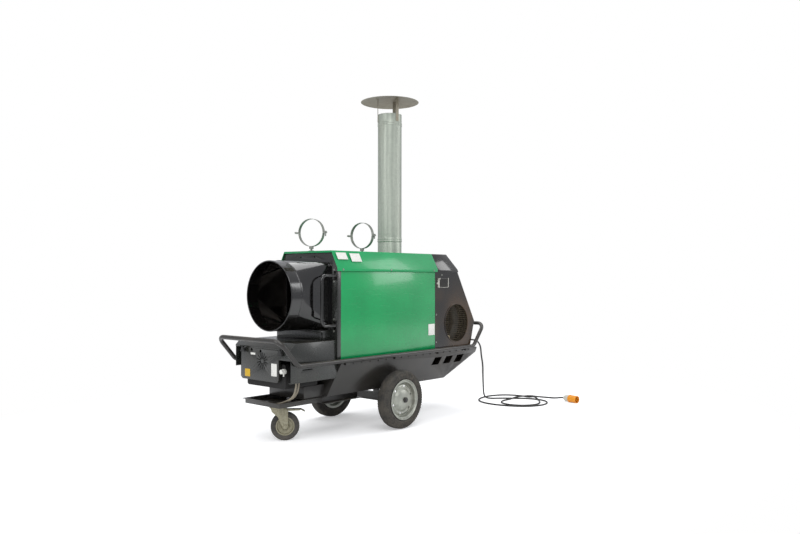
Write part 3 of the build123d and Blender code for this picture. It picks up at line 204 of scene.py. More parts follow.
def sheetPaint(name, colour, dusty, roughness, coat, dust, peel=0.10, wear=0.0, worn=None):
    # sprayed steel: faint orange peel, cloudy colour, dust that settles on what faces up
    paint = Paint(name)
    cloud = paint.noise(5.0, 4.0)
    fine = paint.noise(90.0, 3.0)
    settled = paint.facing("Z").step(0.25, 0.95) * paint.noise(14.0, 5.0, 0.65).step(0.30, 0.75)
    smear = paint.noise(3.0, 6.0, 0.7, paint.stretched((1.0, 1.0, 0.35))).step(0.48, 0.75)
    grime = settled * dust + smear * (dust * 0.45)
    deeper = (*(0.86 * part for part in colour[:3]), 1.0)
    body = paint.mix(cloud.step(0.3, 0.7), colour, deeper)
    body = paint.mix(grime, body, dusty)
    if worn:
        chips = paint.noise(34.0, 8.0, 0.72).step(0.71 - wear, 0.735 - wear)
        body = paint.mix(chips, body, worn)
    scuff = paint.noise(60.0, 2.0, 0.5, paint.stretched((0.12, 1.0, 1.0))).step(0.62, 0.70)
    rough = roughness + grime * 0.45 + scuff * 0.10 + fine * 0.05
    grain = paint.bump(paint.noise(420.0, 2.0), peel, 0.0004)
    return paint.finish(Base_Color=body, Roughness=rough, Coat_Weight=coat, Coat_Roughness=0.08, Normal=grain)


def zincSheet(name, pale, dark, roughness, spangle, stain, stained, metal=0.85):
    # galvanised or plated steel: crystals of slightly different grey, with stains
    paint = Paint(name)
    cells = paint.node("ShaderNodeTexVoronoi", {"out": "Color"}, Vector=paint.place, Scale=spangle)
    tone = paint.node("ShaderNodeSeparateColor", {}, cells)
    soft = paint.noise(spangle * 0.6, 4.0)
    body = paint.mix(tone * 0.6 + soft * 0.4, dark, pale)
    marks = paint.noise(9.0, 6.0, 0.7, paint.stretched((1.0, 1.0, 0.4))).step(0.52, 0.78)
    body = paint.mix(marks * stain, body, stained)
    brushed = paint.noise(40.0, 3.0, 0.5, paint.stretched((1.0, 1.0, 14.0)))
    rough = roughness + tone * 0.10 + marks * 0.18 + brushed * 0.06
    return paint.finish(Base_Color=body, Metallic=metal, Roughness=rough,
                        Normal=paint.bump(tone * 0.3 + brushed, 0.08, 0.0003))


def moulded(name, colour, worn, roughness, grain=900.0, dust=0.3):
    # plastic or rubber: fine grain with dust in it
    paint = Paint(name)
    soft = paint.noise(24.0, 5.0, 0.65)
    settled = (paint.facing("Z").step(0.0, 0.9) * 0.6 + 0.4) * soft.step(0.36, 0.74)
    body = paint.mix(settled * dust, colour, worn)
    rough = roughness + settled * 0.15
    return paint.finish(Base_Color=body, Roughness=rough,
                        Normal=paint.bump(paint.noise(grain, 2.0), 0.25, 0.0003))


def tyreRubber(name, colour, dusty, low, high):
    # brown dust rubbed into the rubber, thicker near the ground
    paint = Paint(name)
    lowEdge = paint.axis("Z").step(high, low)
    blotch = paint.noise(18.0, 6.0, 0.7)
    speck = paint.noise(150.0, 4.0, 0.6)
    dust = blotch.step(0.30, 0.70) * 0.55 + speck.step(0.5, 0.75) * 0.25 + lowEdge * 0.2
    body = paint.mix(dust, colour, dusty)
    return paint.finish(Base_Color=body, Roughness=0.72 + dust * 0.2,
                        Normal=paint.bump(speck + blotch * 0.5, 0.35, 0.0008))


def ductSheet(name, pale, dark, streak):
    # rolled flue sheet: soft upright streaks and small crystals
    paint = Paint(name)
    lines = paint.noise(46.0, 4.0, 0.6, paint.stretched((1.0, 1.0, 0.03)))
    cells = paint.node("ShaderNodeTexVoronoi", {"out": "Color"}, Vector=paint.place, Scale=90.0)
    tone = paint.node("ShaderNodeSeparateColor", {}, cells)
    body = paint.mix(lines.step(0.32, 0.68) * 0.75 + tone * 0.25, dark, pale)
    low = paint.noise(7.0, 5.0, 0.6, paint.stretched((1.0, 1.0, 0.2))).step(0.55, 0.8)
    body = paint.mix(low * 0.35, body, streak)
    return paint.finish(Base_Color=body, Metallic=0.42, Roughness=0.40 + tone * 0.08 + low * 0.12,
                        Normal=paint.bump(lines, 0.05, 0.0004))


def glossSide(name, colour, paintedBrownReflection):
    # the rear casing: gloss black with a painted brown reflection low down, mixed into its colour
    paint = Paint(name)
    height = paint.axis("Z")
    # painted reflection: patches of brown towards the bottom stand in for a reflection
    paintedReflectionLow = height.step(0.98, 0.62) * paint.noise(2.6, 4.0, 0.55).step(0.30, 0.68)
    body = paint.mix(paintedReflectionLow * 0.85, colour, paintedBrownReflection)
    smear = paint.noise(5.0, 6.0, 0.7, paint.stretched((1.0, 1.0, 0.5))).step(0.5, 0.8)
    rough = 0.20 + paintedReflectionLow * 0.12 + smear * 0.08
    return paint.finish(Base_Color=body, Roughness=rough, Coat_Weight=0.5, Coat_Roughness=0.06,
                        Normal=paint.bump(paint.noise(300.0, 2.0), 0.04, 0.0004))


def makeFinishes():
    brownDust = linear(118, 106, 90)
    steel = linear(120, 116, 110)
    return {
        "green": sheetPaint("greenPaint", linear(0, 150, 82), linear(40, 158, 92), 0.22, 0.35, 0.10, 0.03),
        "roofGreen": sheetPaint("roofGreenPaint", linear(0, 152, 86), linear(60, 166, 112), 0.28, 0.25,
                                0.18, 0.03),
        "frame": sheetPaint("framePaint", linear(40, 38, 35), brownDust, 0.30, 0.20, 0.22, 0.12, 0.006,
                            steel),
        "bay": sheetPaint("bayPaint", linear(34, 36, 33), brownDust, 0.24, 0.30, 0.14, 0.08),
        "gloss": sheetPaint("glossBlack", linear(17, 16, 15), brownDust, 0.16, 0.55, 0.08, 0.04),
        # the brown here is a painted reflection low on the rear casing
        "side": glossSide("rearSideBlack", linear(14, 13, 12), linear(74, 52, 26)),
        "mouth": sheetPaint("outletBlack", linear(12, 11, 11), linear(96, 88, 78), 0.12, 0.70, 0.05, 0.03),
        "galvanised": zincSheet("galvanised", linear(150, 152, 146), linear(118, 120, 114), 0.34, 70.0, 0.4,
                                linear(110, 104, 92), 0.6),
        # painted shade: a darker copy of the galvanised sheet for the blower housing, its wheel and the inlet
        # cones inside the casing
        "inlet": zincSheet("shadedInletSheet", linear(70, 70, 68), linear(40, 40, 38), 0.30, 60.0, 0.6,
                           linear(50, 44, 36), 0.5),
        "flue": ductSheet("flueSheet", linear(176, 182, 170), linear(146, 152, 142), linear(134, 132, 116)),
        "cap": zincSheet("capSheet", linear(150, 144, 128), linear(126, 118, 102), 0.40, 60.0, 0.6,
                         linear(108, 96, 76), 0.35),
        "zinc": zincSheet("zincPlate", linear(168, 164, 142), linear(134, 128, 106), 0.34, 160.0, 0.5,
                          linear(96, 88, 72), 0.55),
        "stainless": zincSheet("heatedSteel", linear(150, 146, 140), linear(110, 100, 92), 0.38, 30.0, 0.7,
                               linear(96, 78, 60)),
        "casting": zincSheet("casting", linear(92, 94, 92), linear(66, 68, 66), 0.5, 220.0, 0.5,
                             linear(50, 46, 40), 0.5),
        "bracket": zincSheet("bracketPlate", linear(186, 172, 140), linear(156, 142, 112), 0.42, 120.0, 0.5,
                             linear(120, 100, 70), 0.3),
        "wire": zincSheet("guardWire", linear(104, 94, 76), linear(70, 62, 50), 0.40, 120.0, 0.4,
                          linear(60, 50, 36), 0.5),
        "tyre": tyreRubber("tyreRubber", linear(38, 37, 36), linear(96, 90, 80), 0.0, 0.12),
        "castorTyre": tyreRubber("castorRubber", linear(42, 42, 42), linear(104, 98, 90), 0.0, 0.05),
        "rim": zincSheet("rimSheet", linear(180, 182, 172), linear(150, 152, 143), 0.32, 45.0, 0.35,
                         linear(120, 108, 90), 0.5),
        "blackPlastic": moulded("blackPlastic", linear(24, 24, 24), linear(70, 66, 60), 0.40),
        "smoked": moulded("smokedLid", linear(34, 33, 30), linear(90, 84, 74), 0.18, 900.0, 0.2),
        "greyPlastic": moulded("greyPlastic", linear(196, 194, 184), linear(140, 136, 122), 0.46),
        "yellowPlastic": moulded("yellowPlastic", linear(232, 150, 24), linear(170, 116, 50), 0.40),
        "cord": moulded("cordRubber", linear(34, 34, 33), linear(96, 90, 80), 0.50, 700.0, 0.4),
        "hose": moulded("hoseRubber", linear(136, 128, 112), linear(96, 88, 74), 0.5, 700.0, 0.6),
        "label": moulded("blankLabel", linear(222, 222, 216), linear(176, 172, 158), 0.42, 500.0, 0.30),
        "yellowLabel": moulded("blankYellowLabel", linear(206, 166, 24), linear(140, 116, 44), 0.44, 500.0,
                               0.4),
        # near-black painted shade for the side panels' inner faces and the roof and front undersides; the
        # burner body is given it too
        "dark": moulded("paintedShadeDark", linear(14, 13, 12), linear(40, 36, 30), 0.7, 300.0, 0.3),
    }


nodeFinish = {
    "hull": "frame", "base_deck": "frame", "castor_tray": "frame", "chassis_channels": "frame",
    "axle_beam": "frame", "side_rails": "frame", "front_handle": "frame", "rear_handle": "frame",
    "burner_bay_left": "bay", "burner_bay_right": "bay", "burner_bay_top": "bay", "burner_cover": "bay",
    "step_box": "bay", "front_panel": "bay", "side_panel_left": "green", "side_panel_right": "green",
    "roof_front": "roofGreen", "rear_side_left": "side", "rear_side_right": "side", "rear_panel": "gloss",
    "roof_rear": "gloss", "outlet_cone": "mouth", "outlet_collar": "mouth", "grab_bars": "gloss",
    "tyre_left": "tyre", "tyre_right": "tyre", "castor_tyre": "castorTyre", "rim_left": "rim",
    "rim_right": "rim", "flue_lower": "flue", "flue_pipe": "flue", "flue_cap": "cap",
    "clip_studs": "galvanised", "clip_lower_front": "galvanised", "clip_lower_rear": "galvanised",
    "clip_upper_front": "galvanised", "clip_upper_rear": "galvanised", "blower_housing": "inlet",
    "blower_wheel": "inlet", "intake_guards": "wire", "panel_screws": "galvanised", "castor_plate": "zinc",
    "castor_fork": "zinc", "castor_rim": "zinc", "brake_pedal": "zinc", "combustion_chamber": "stainless",
    "heat_exchanger": "stainless", "blast_tube": "stainless", "burner_body": "dark", "fuel_filter": "label",
    "blower_motor": "casting", "cover_knob_left": "blackPlastic", "cover_knob_right": "blackPlastic",
    "cable_gland": "blackPlastic", "socket_frame": "greyPlastic", "socket_flap": "smoked",
    "plug_body": "greyPlastic", "plug_front": "yellowPlastic", "mains_cable": "cord", "fuel_hoses": "hose",
}


def bodyOf(node):
    for body, members in frame["record"]["behaviour"]["bodies"].items():
        if node in members:
            return body


# Modelling helpers


def clearSelection():
    if bpy.context.object and bpy.context.object.mode != "OBJECT":
        bpy.ops.object.mode_set(mode="OBJECT")
    bpy.ops.object.select_all(action="DESELECT")


def activate(*things):
    clearSelection()
    for thing in things:
        thing.select_set(True)
    bpy.context.view_layer.objects.active = things[0]


def coat(piece, finish):
    piece.data.materials.clear()
    piece.data.materials.append(finishes[finish])


def settle(piece, name, body, finish, smooth=35):
    # place into the mesh, name, finish, body
    activate(piece)
    bpy.ops.object.transform_apply(location=True, rotation=True, scale=True)
    piece.name = name
    piece.data.name = name
    if smooth:
        bpy.ops.object.shade_smooth_by_angle(angle=math.radians(smooth))
    coat(piece, finish)
    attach(piece, body)
    return piece


def applied(piece, kind, **settings):
    activate(piece)
    modifier = piece.modifiers.new(kind.title(), kind)
    for key, value in settings.items():
        setattr(modifier, key, value)
    bpy.ops.object.modifier_apply(modifier=modifier.name)


def joined(pieces):
    activate(*pieces)
    if len(pieces) > 1:
        bpy.ops.object.join()
    return bpy.context.object


def softened(node, width, steps=2, angle=32):
    # the node's own shape with its hard edges eased
    source = nodes[node]
    piece = bpy.data.objects.new("eased_" + node, source.data.copy())
    bpy.context.collection.objects.link(piece)
    activate(piece)
    bpy.ops.object.mode_set(mode="EDIT")
    bpy.ops.mesh.select_all(action="SELECT")
    bpy.ops.mesh.remove_doubles(threshold=0.00002)
    bpy.ops.mesh.dissolve_limited(angle_limit=math.radians(0.5))
    bpy.ops.object.mode_set(mode="OBJECT")
    applied(piece, "BEVEL", width=width, segments=steps, limit_method="ANGLE",
            angle_limit=math.radians(angle), use_clamp_overlap=True)
    settle(piece, "eased_" + node, bodyOf(node), nodeFinish[node])
    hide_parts(node)
    return piece


easedNodes = {
    "hull": 0.0016, "castor_tray": 0.0010, "chassis_channels": 0.0008, "axle_beam": 0.0012,
    "burner_bay_left": 0.0007, "burner_bay_right": 0.0007, "burner_bay_top": 0.0005, "burner_cover": 0.0005,
    "step_box": 0.0010, "front_panel": 0.0005, "side_panel_left": 0.0009, "side_panel_right": 0.0009,
    "roof_front": 0.0005, "roof_rear": 0.0005, "rear_panel": 0.0004, "castor_fork": 0.0008,
    "castor_plate": 0.0008, "brake_pedal": 0.0007, "socket_frame": 0.0008, "grab_bars": 0.0004,
}


# Mains cable

cable = {
    "diameter": 0.011,
    "length": 3.82,
    "route": [
        (823.9, -212, 478), (873.9, -212, 477), (931.9, -211, 462), (975.9, -206, 422), (999.9, -194, 356),
        (1032, -186, 285), (1058, -168, 205), (1094, -146, 125), (1142, -116, 58), (1200, -92, 18),
        (1262, -98, 5.5), (1322, -150, 5.5), (1385, -225, 5.5), (1438, -305, 5.5), (1460, -395, 5.5),
        (1425, -480, 5.5), (1345, -530, 5.5), (1250, -540, 5.5), (1160, -500, 5.5), (1095, -425, 5.5),
        (1060, -325, 5.5), (1055, -220, 5.5), (1090, -120, 5.5), (1165, -52, 5.5), (1265, -22, 5.5),
        (1365, -22, 5.5), (1450, -60, 5.5), (1505, -130, 5.5), (1518, -210, 5.5), (1507, -280, 5.5),
        (1484, -334, 18.15), (1434, -390, 18.15), (1384, -446, 5.5), (1310, -488, 5.5), (1225, -490, 5.5),
        (1155, -445, 5.5), (1120, -370, 5.5), (1132, -290, 5.5), (1188, -235, 5.5), (1262, -220, 5.5),
        (1328, -230, 7.5), (1384, -246, 18.15), (1442, -264, 18.15), (1500, -292, 18.15), (1552, -336, 8.5),
        (1586, -396, 5.5), (1584, -442, 7), (1562, -486, 14), (1541, -523, 23), (1536, -556, 27.2),
    ],
}


def addCable():
    data = bpy.data.curves.new("mainsCable", "CURVE")
    data.dimensions = "3D"
    data.bevel_depth = cable["diameter"] / 2
    data.bevel_resolution = 4
    spline = data.splines.new("NURBS")
    spline.points.add(len(cable["route"]) - 1)
    for point, (x, y, z) in zip(spline.points, cable["route"]):
        point.co = (x / 1000 + shift, y / 1000, z / 1000, 1.0)
    spline.order_u = 3
    spline.use_endpoint_u = True
    spline.resolution_u = 10
    data.resolution_u = 10
    piece = bpy.data.objects.new("mainsCable", data)
    bpy.context.collection.objects.link(piece)
    data.materials.append(finishes["cord"])
    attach(piece, "chassis")
    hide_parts("mains_cable")


# Turned shapes


def editFaces(piece, test):
    # edit mode with only the faces that pass the test selected
    activate(piece)
    bpy.ops.object.mode_set(mode="EDIT")
    bpy.ops.mesh.select_mode(type="FACE")
    bpy.ops.mesh.select_all(action="DESELECT")
    shape = bmesh.from_edit_mesh(piece.data)
    for face in shape.faces:
        if test(face.calc_center_median(), face.normal):
            face.select_set(True)
    bmesh.update_edit_mesh(piece.data)


def profileLine(points):
    # a small plane merged to one vertex, which is pushed from point to point, ready to be spun
    clearSelection()
    bpy.ops.mesh.primitive_plane_add(size=0.01, location=points[0])
    piece = bpy.context.object
    bpy.ops.object.transform_apply(location=True, rotation=True, scale=True)
    bpy.ops.object.mode_set(mode="EDIT")
    bpy.ops.mesh.select_mode(type="VERT")
    bpy.ops.mesh.select_all(action="SELECT")
    bpy.ops.mesh.merge(type="CENTER")
    for before, after in zip(points, points[1:]):
        step = Vector(after) - Vector(before)
        bpy.ops.mesh.extrude_region_move(TRANSFORM_OT_translate={"value": step})
    return piece


def turned(profile, centre, axis, steps, closed=False):
    # profile in millimetres: distance along the axis, radius
    along = Vector(axis).normalized()
    out = along.orthogonal().normalized() if abs(along.z) > 0.9 else Vector((0, 0, 1))
    points = [Vector(centre) + along * (a / 1000) + out * (r / 1000) for a, r in profile]
    if closed:
        points.append(points[0].copy())
    piece = profileLine(points)
    bpy.ops.mesh.select_all(action="SELECT")
    if closed:
        bpy.ops.mesh.remove_doubles(threshold=0.00001)
    bpy.ops.mesh.spin(steps=steps, angle=math.tau, center=centre, axis=along)
    bpy.ops.mesh.select_all(action="SELECT")
    bpy.ops.mesh.remove_doubles(threshold=0.00002)
    bpy.ops.mesh.normals_make_consistent(inside=False)
    bpy.ops.object.mode_set(mode="OBJECT")
    return piece


# Rear wheels

wheels = {"sides": {"left": -0.300, "right": 0.300}, "height": 0.175}

tyre = {
    "steps": 132,
    "profile": [(-24, 106), (-27, 112), (-27, 121), (-32, 125), (-36.5, 131), (-37.2, 136), (-36.8, 148),
                (-35.6, 158), (-33.4, 165), (-29, 170.5), (-22, 173.4), (-12, 174.6), (0, 174.9),
                (12, 174.6), (22, 173.4), (29, 170.5), (33.4, 165), (35.6, 158), (36.8, 148), (37.2, 136),
                (36.5, 131), (32, 125), (27, 121), (27, 112), (24, 106)],
    "lug": (0.138, 0.166),
    "lugHeight": 0.0020,
}


def addTyre(side, centreY):
    centre = Vector((shift, centreY, wheels["height"]))
    piece = turned(tyre["profile"], centre, (0, 1, 0), tyre["steps"], closed=True)
    low, high = tyre["lug"]

    def isLug(place, normal):
        arm = place - centre
        radius = math.hypot(arm.x, arm.z)
        sector = int(math.floor(math.atan2(arm.z, arm.x) / math.tau * tyre["steps"] + 0.5))
        return low < radius < high and sector % 2 == 0

    editFaces(piece, isLug)
    bpy.ops.mesh.extrude_region_shrink_fatten(TRANSFORM_OT_shrink_fatten={"value": tyre["lugHeight"]})
    bpy.ops.object.mode_set(mode="OBJECT")
    settle(piece, "tyreTread_" + side, "wheel_" + side, "tyre", smooth=28)
    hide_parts("tyre_" + side)


rim = {
    "well": [(35, 120.5), (36, 118), (33, 115.5), (28.5, 113), (27, 106), (12, 103.5), (-12, 103.5),
             (-27, 106), (-28.5, 113), (-30, 119)],
    "disc": [(9, 102.5), (5, 99), (6, 94), (13, 88), (15.5, 82), (13.5, 76.5), (12.5, 71), (16, 66.5),
             (24, 60), (30, 50), (34, 38), (35.6, 27), (36, 18), (36, 10.4)],
    "hub": [(30, 23), (-35, 23), (-36, 22), (-36, 10.4)],
    "wellWall": 0.0022,
    "discWall": 0.0025,
    "hubWall": 0.0020,
    "holes": 6,
    "firstHole": 0.3,
    "holeRadius": 0.0062,
    "holeCircle": 0.0820,
}


def addRim(side, centreY):
    out = 1 if centreY > 0 else -1
    centre = Vector((shift, centreY, wheels["height"]))
    well = turned(rim["well"], centre, (0, out, 0), 96)
    applied(well, "SOLIDIFY", thickness=rim["wellWall"], offset=0)
    disc = turned(rim["disc"], centre, (0, out, 0), 96)
    applied(disc, "SOLIDIFY", thickness=rim["discWall"], offset=0)
    for index in range(rim["holes"]):
        turn = math.tau * (index + rim["firstHole"]) / rim["holes"]
        place = centre + Vector((math.cos(turn), 0, math.sin(turn))) * rim["holeCircle"]
        clearSelection()
        bpy.ops.mesh.primitive_cylinder_add(vertices=24, radius=rim["holeRadius"], depth=0.09,
                                            location=place, rotation=(math.pi / 2, 0, 0))
        drill = bpy.context.object
        applied(disc, "BOOLEAN", object=drill, operation="DIFFERENCE", solver="EXACT")
        bpy.data.objects.remove(drill)
    hubTube = turned(rim["hub"], centre, (0, out, 0), 48)
    applied(hubTube, "SOLIDIFY", thickness=rim["hubWall"], offset=0)
    piece = joined([well, disc, hubTube])
    settle(piece, "rimPressing_" + side, "wheel_" + side, "rim", smooth=30)
    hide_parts("rim_" + side)


# Wire guards over the blower's intakes

guard = {"centre": (0.630, 0.606), "radius": 0.134, "wire": 0.0010, "pitch": 0.0132, "depth": 0.2465,
         "ring": 0.0022}


def addGuard(side):
    y = guard["depth"] * side
    cx, cz = guard["centre"][0] + shift, guard["centre"][1]
    wires = []
    count = int(guard["radius"] / guard["pitch"])
    for index in range(-count, count + 1):
        away = index * guard["pitch"]
        half = math.sqrt(guard["radius"] ** 2 - away ** 2)
        for upright in (True, False):
            layer = guard["wire"] * (0.9 if upright else -0.9) * side
            place = (cx + away, y + layer, cz) if upright else (cx, y + layer, cz + away)
            turn = (0, 0, 0) if upright else (0, math.pi / 2, 0)
            clearSelection()
            bpy.ops.mesh.primitive_cylinder_add(vertices=6, radius=guard["wire"], depth=2 * half,
                                                location=place, rotation=turn)
            wires.append(bpy.context.object)
    clearSelection()
    bpy.ops.mesh.primitive_torus_add(major_radius=guard["radius"], minor_radius=guard["ring"],
                                     major_segments=72, minor_segments=8, location=(cx, y, cz),
                                     rotation=(math.pi / 2, 0, 0))
    wires.append(bpy.context.object)
    return joined(wires)


def addGuards():
    piece = joined([addGuard(-1), addGuard(1)])
    settle(piece, "wireGuards", "chassis", "wire", smooth=40)
    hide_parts("intake_guards")


# Floor

ground = {
    "centre": (0.1, -0.1),
    "squash": 0.55,  # the lit patch is longer along X
    "fade": (0.9, 2.3),
    "grey": 0.90,
    "lift": 0.34,
}


def addFloor():
    # white away from the object; near it the lamps' light and the shadow count
    bpy.ops.mesh.primitive_plane_add(size=60, location=(0, 0, 0))
    floor = bpy.context.object
    floor.name = "floor"
    paint = Paint("floorWhite")
    x = paint.axis("X") - ground["centre"][0]
    y = paint.axis("Y") - ground["centre"][1]
    away = (x * x * ground["squash"] + y * y).root()
    far = away.step(*ground["fade"])
    white = (1.0, 1.0, 1.0, 1.0)
    lit = paint.node("ShaderNodeBsdfDiffuse", {}, (ground["grey"], ground["grey"], ground["grey"], 1.0))
    glow = paint.node("ShaderNodeEmission", {}, white, ground["lift"])
    near = paint.node("ShaderNodeAddShader", {}, lit, glow)
    plain = paint.node("ShaderNodeEmission", {}, white, 1.0)
    seen = paint.node("ShaderNodeMixShader", {}, far, near, plain)
    camera = paint.node("ShaderNodeLightPath", {"out": "Is Camera Ray"})
    surface = paint.node("ShaderNodeMixShader", {}, camera, lit, seen)
    paint.node("ShaderNodeOutputMaterial", {}, surface)
    floor.data.materials.append(paint.material)


# Small pieces


def lined(piece, finish, test):
    # a second finish on the faces that pass the test
    piece.data.materials.append(finishes[finish])
    for face in piece.data.polygons:
        if test(face.center, face.normal):
            face.material_index = 1


casing = {"skinY": 0.2476, "frontTopZ": 1.04}  # outer skin of the side panels, top of the front's back face


def isPanelInside(place, normal):
    return abs(place.y) < casing["skinY"]


def isUnderside(place, normal):
    return normal.z < -0.5 or (normal.x > 0.5 and place.z < casing["frontTopZ"])


def slab(centre, size, turn=(0, 0, 0), ease=0.0004):
    # a sheet or block with eased edges, from its middle and size in metres
    clearSelection()
    bpy.ops.mesh.primitive_cube_add(size=1, location=centre, rotation=turn)
    piece = bpy.context.object
    piece.scale = size
    bpy.ops.object.transform_apply(location=False, rotation=False, scale=True)
    applied(piece, "BEVEL", width=ease, segments=2, limit_method="ANGLE", angle_limit=math.radians(40))
    return piece


def rod(start, end, radius, sides=24):
    # a straight rod between two points
    start, end = Vector(start), Vector(end)
    line = end - start
    clearSelection()
    turn = line.to_track_quat("Z", "Y").to_euler()
    bpy.ops.mesh.primitive_cylinder_add(vertices=sides, radius=radius, depth=line.length,
                                        location=(start + end) / 2, rotation=turn)
    piece = bpy.context.object
    applied(piece, "BEVEL", width=radius * 0.12, segments=2, limit_method="ANGLE",
            angle_limit=math.radians(50))
    return piece


# Flue

flue = {
    "axis": (0.2295, 0.0),
    "seam": {"turn": math.radians(-100), "radius": 0.0779, "height": 1.535, "size": (0.0012, 0.007, 0.720)},
    "lower": [(1000, 77), (1000, 78), (1062, 78), (1066, 94), (1067.5, 94), (1070, 79.5), (1076, 78),
              (1136, 78), (1141, 76.4), (1180, 76.2), (1180, 75.4), (1141, 75.4), (1100, 77)],
    "upper": [(1142, 77.1), (1142, 79.2), (1146, 80.6), (1150, 80.6), (1154, 79.0), (1157, 78.6),
              (1160, 80.0), (1163, 80.0), (1166, 78.4), (1172, 78), (1898, 78), (1901, 78.6),
              (1904, 80.4), (1908, 80.4), (1911, 78.4), (1914, 78.4), (1917, 80.2), (1920, 80.2),
              (1923, 78.2), (1927, 78), (1976, 78), (1977.5, 78.5), (1978, 77.8), (1976, 77.1)],
}


def addFlue():
    centre = Vector((*flue["axis"], 0))
    for name, key, body, node in (("flueStub", "lower", "chassis", "flue_lower"),
                                  ("flueTube", "upper", "flue", "flue_pipe")):
        piece = turned(flue[key], centre, (0, 0, 1), 96, closed=True)
        if key == "upper":
            seam = flue["seam"]
            turn = seam["turn"]
            place = centre + seam["radius"] * Vector((math.cos(turn), math.sin(turn), 0))
            place.z = seam["height"]
            piece = joined([piece, slab(place, seam["size"], (0, 0, turn), 0.0003)])
        settle(piece, name, body, "flue", smooth=35)
        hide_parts(node)


# Plates and tags, all blank

plateThickness = 0.0009
roofFacet = {"eave": (257, 965), "top": (204, 1065)}

plates = {
    "roofPlateFront": {"centre": (-425.5, -228.6, 1034), "size": (80, 44), "tilt": "roof", "finish": "label"},
    "roofPlateRear": {"centre": (-316.5, -231.5, 1027), "size": (82, 54), "tilt": "roof", "finish": "label"},
    "sidePlate": {"centre": (363, -250.2, 575), "size": (64, 72), "tilt": "side", "finish": "label"},
    "coverTag": {"centre": (-813.4, 80, 487), "size": (40, 11), "tilt": "front", "finish": "label"},
    "coverSquare": {"centre": (-813.4, 128, 378), "size": (46, 42), "tilt": "front", "finish": "yellowLabel"},
    "coverCard": {"centre": (-813.4, -103, 410), "size": (46, 68), "tilt": "front", "finish": "label"},
}


def addPlates():
    (eaveY, eaveZ), (topY, topZ) = roofFacet["eave"], roofFacet["top"]
    facet = math.atan2(topZ - eaveZ, eaveY - topY)
    turns = {"roof": (facet, 0, 0), "side": (math.pi / 2, 0, 0), "front": (math.pi / 2, 0, -math.pi / 2)}
    for name, plate in plates.items():
        x, y, z = (value / 1000 for value in plate["centre"])
        wide, tall = plate["size"]
        turn = turns[plate["tilt"]]
        piece = slab((x + shift, y, z), (wide / 1000, tall / 1000, plateThickness), turn, 0.0002)
        body = "cover" if plate["tilt"] == "front" else "chassis"
        settle(piece, name, body, plate["finish"], smooth=30)


# Fixings

hullSide = {"top": (262, 428), "bottom": (188, 238)}
screwRow = {"first": -430, "last": 826, "pitch": 70, "z": 419.5, "radius": 0.0048, "height": 0.003}


def hexHead(place, normal, radius, height):
    # a hexagon head on a washer
    normal = Vector(normal).normalized()
    washer = rod(place, Vector(place) + normal * 0.0012, radius * 1.35, 20)
    head = rod(Vector(place) + normal * 0.001, Vector(place) + normal * (0.001 + height), radius, 6)
    return [washer, head]


def addHullScrews():
    heads = []
    (topY, topZ), (bottomY, bottomZ) = hullSide["top"], hullSide["bottom"]
    slope = (topY - bottomY) / (topZ - bottomZ)
    y = topY - (topZ - screwRow["z"]) * slope
    normal = Vector((0, 1, -slope)).normalized()
    count = int((screwRow["last"] - screwRow["first"]) / screwRow["pitch"])
    for index in range(count + 1):
        x = (screwRow["first"] + index * screwRow["pitch"]) / 1000 + shift
        for side in (-1, 1):
            heads += hexHead((x, side * y / 1000, screwRow["z"] / 1000), (0, side * normal.y, normal.z),
                             screwRow["radius"], screwRow["height"])
    settle(joined(heads), "hullScrews", "chassis", "frame")


# Blower intake: inlet cones and the pale bracket before the motor

intake = {
    "centre": (0.630, 0.606),
    "depth": 0.1245,
    "cone": [(0, 112), (4, 113), (12, 118), (22, 128), (34, 142), (36, 146)],
    "coneWall": 0.0015,
}

motorArm = {
    "y": -0.218,
    "top": (516, 588),
    "boss": (571, 506),
    "foot": (628, 503),
    "web": (546, 545),
    "webSize": (0.026, 0.006, 0.088),
    "webLean": math.radians(-34),
    "armRadius": 0.0085,
    "footRadius": 0.0075,
    "bossRadius": 0.019,
    "boreRadius": 0.0072,
}


def addInletCones():
    for name, side in (("left", -1), ("right", 1)):
        centre = Vector((intake["centre"][0] + shift, side * intake["depth"], intake["centre"][1]))
        cone = turned(intake["cone"], centre, (0, side, 0), 72)
        applied(cone, "SOLIDIFY", thickness=intake["coneWall"], offset=0)
        settle(cone, "inletCone_" + name, "chassis", "inlet")


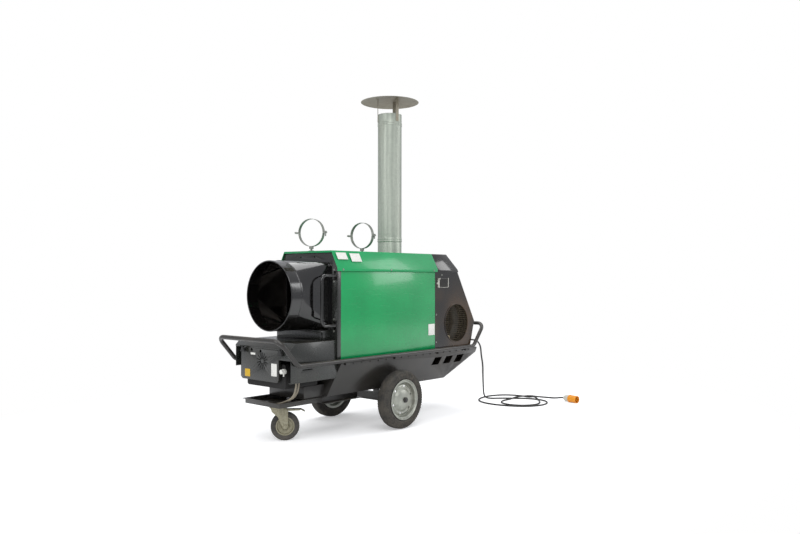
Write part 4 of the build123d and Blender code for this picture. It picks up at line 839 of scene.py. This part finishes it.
def addMotorBracket():
    def at(key, y=0.0):
        x, z = motorArm[key]
        return Vector((x / 1000 + shift, motorArm["y"] + y, z / 1000))

    arm = rod(at("top"), at("boss"), motorArm["armRadius"], 16)
    boss = rod(at("boss", -0.010), at("boss", 0.012), motorArm["bossRadius"], 28)
    foot = rod(at("boss"), at("foot"), motorArm["footRadius"], 16)
    web = slab(at("web"), motorArm["webSize"], (0, motorArm["webLean"], 0), 0.001)
    bore = rod(at("boss", -0.014), at("boss", 0.016), motorArm["boreRadius"], 20)
    piece = joined([boss, foot, arm, web])
    applied(piece, "BOOLEAN", object=bore, operation="DIFFERENCE", solver="EXACT")
    bpy.data.objects.remove(bore)
    settle(piece, "motorBracket", "chassis", "bracket")


# Daylight around the object; the camera sees plain white

daylight = {"colour": (0.93, 0.95, 1.0, 1.0), "strength": 0.62}


def addWorld():
    world = bpy.data.worlds.new("studio")
    bpy.context.scene.world = world
    world.use_nodes = True
    tree = world.node_tree
    tree.nodes.clear()
    path = tree.nodes.new("ShaderNodeLightPath")
    soft = tree.nodes.new("ShaderNodeBackground")
    soft.inputs["Color"].default_value = daylight["colour"]
    soft.inputs["Strength"].default_value = daylight["strength"]
    white = tree.nodes.new("ShaderNodeBackground")
    white.inputs["Color"].default_value = (1.0, 1.0, 1.0, 1.0)
    white.inputs["Strength"].default_value = 1.0
    blend = tree.nodes.new("ShaderNodeMixShader")
    output = tree.nodes.new("ShaderNodeOutputWorld")
    tree.links.new(path.outputs["Is Camera Ray"], blend.inputs[0])
    tree.links.new(soft.outputs[0], blend.inputs[1])
    tree.links.new(white.outputs[0], blend.inputs[2])
    tree.links.new(blend.outputs[0], output.inputs[0])


bpy.context.scene.view_settings.view_transform = "Standard"
addCamera()
addLamps()
addWorld()
addFloor()
finishes = makeFinishes()
print("camera, light and finishes are set")

for node, thing in nodes.items():
    coat(thing, nodeFinish[node])
eased = {node: softened(node, width) for node, width in easedNodes.items()}
# painted shade: the side panels' inner faces and the undersides of the roof and front panel take the
# near-black dark finish
for node in ("side_panel_left", "side_panel_right"):
    lined(eased[node], "dark", isPanelInside)
for node in ("roof_front", "front_panel"):
    lined(eased[node], "dark", isUnderside)
print("carried pieces are coated and eased")
addCable()
print("mains cable laid")
for side, centreY in wheels["sides"].items():
    addTyre(side, centreY)
    addRim(side, centreY)
addGuards()
print("wheels and guards made")
addFlue()
addPlates()
addHullScrews()
addInletCones()
addMotorBracket()
print("flue, plates, screws and intakes made")
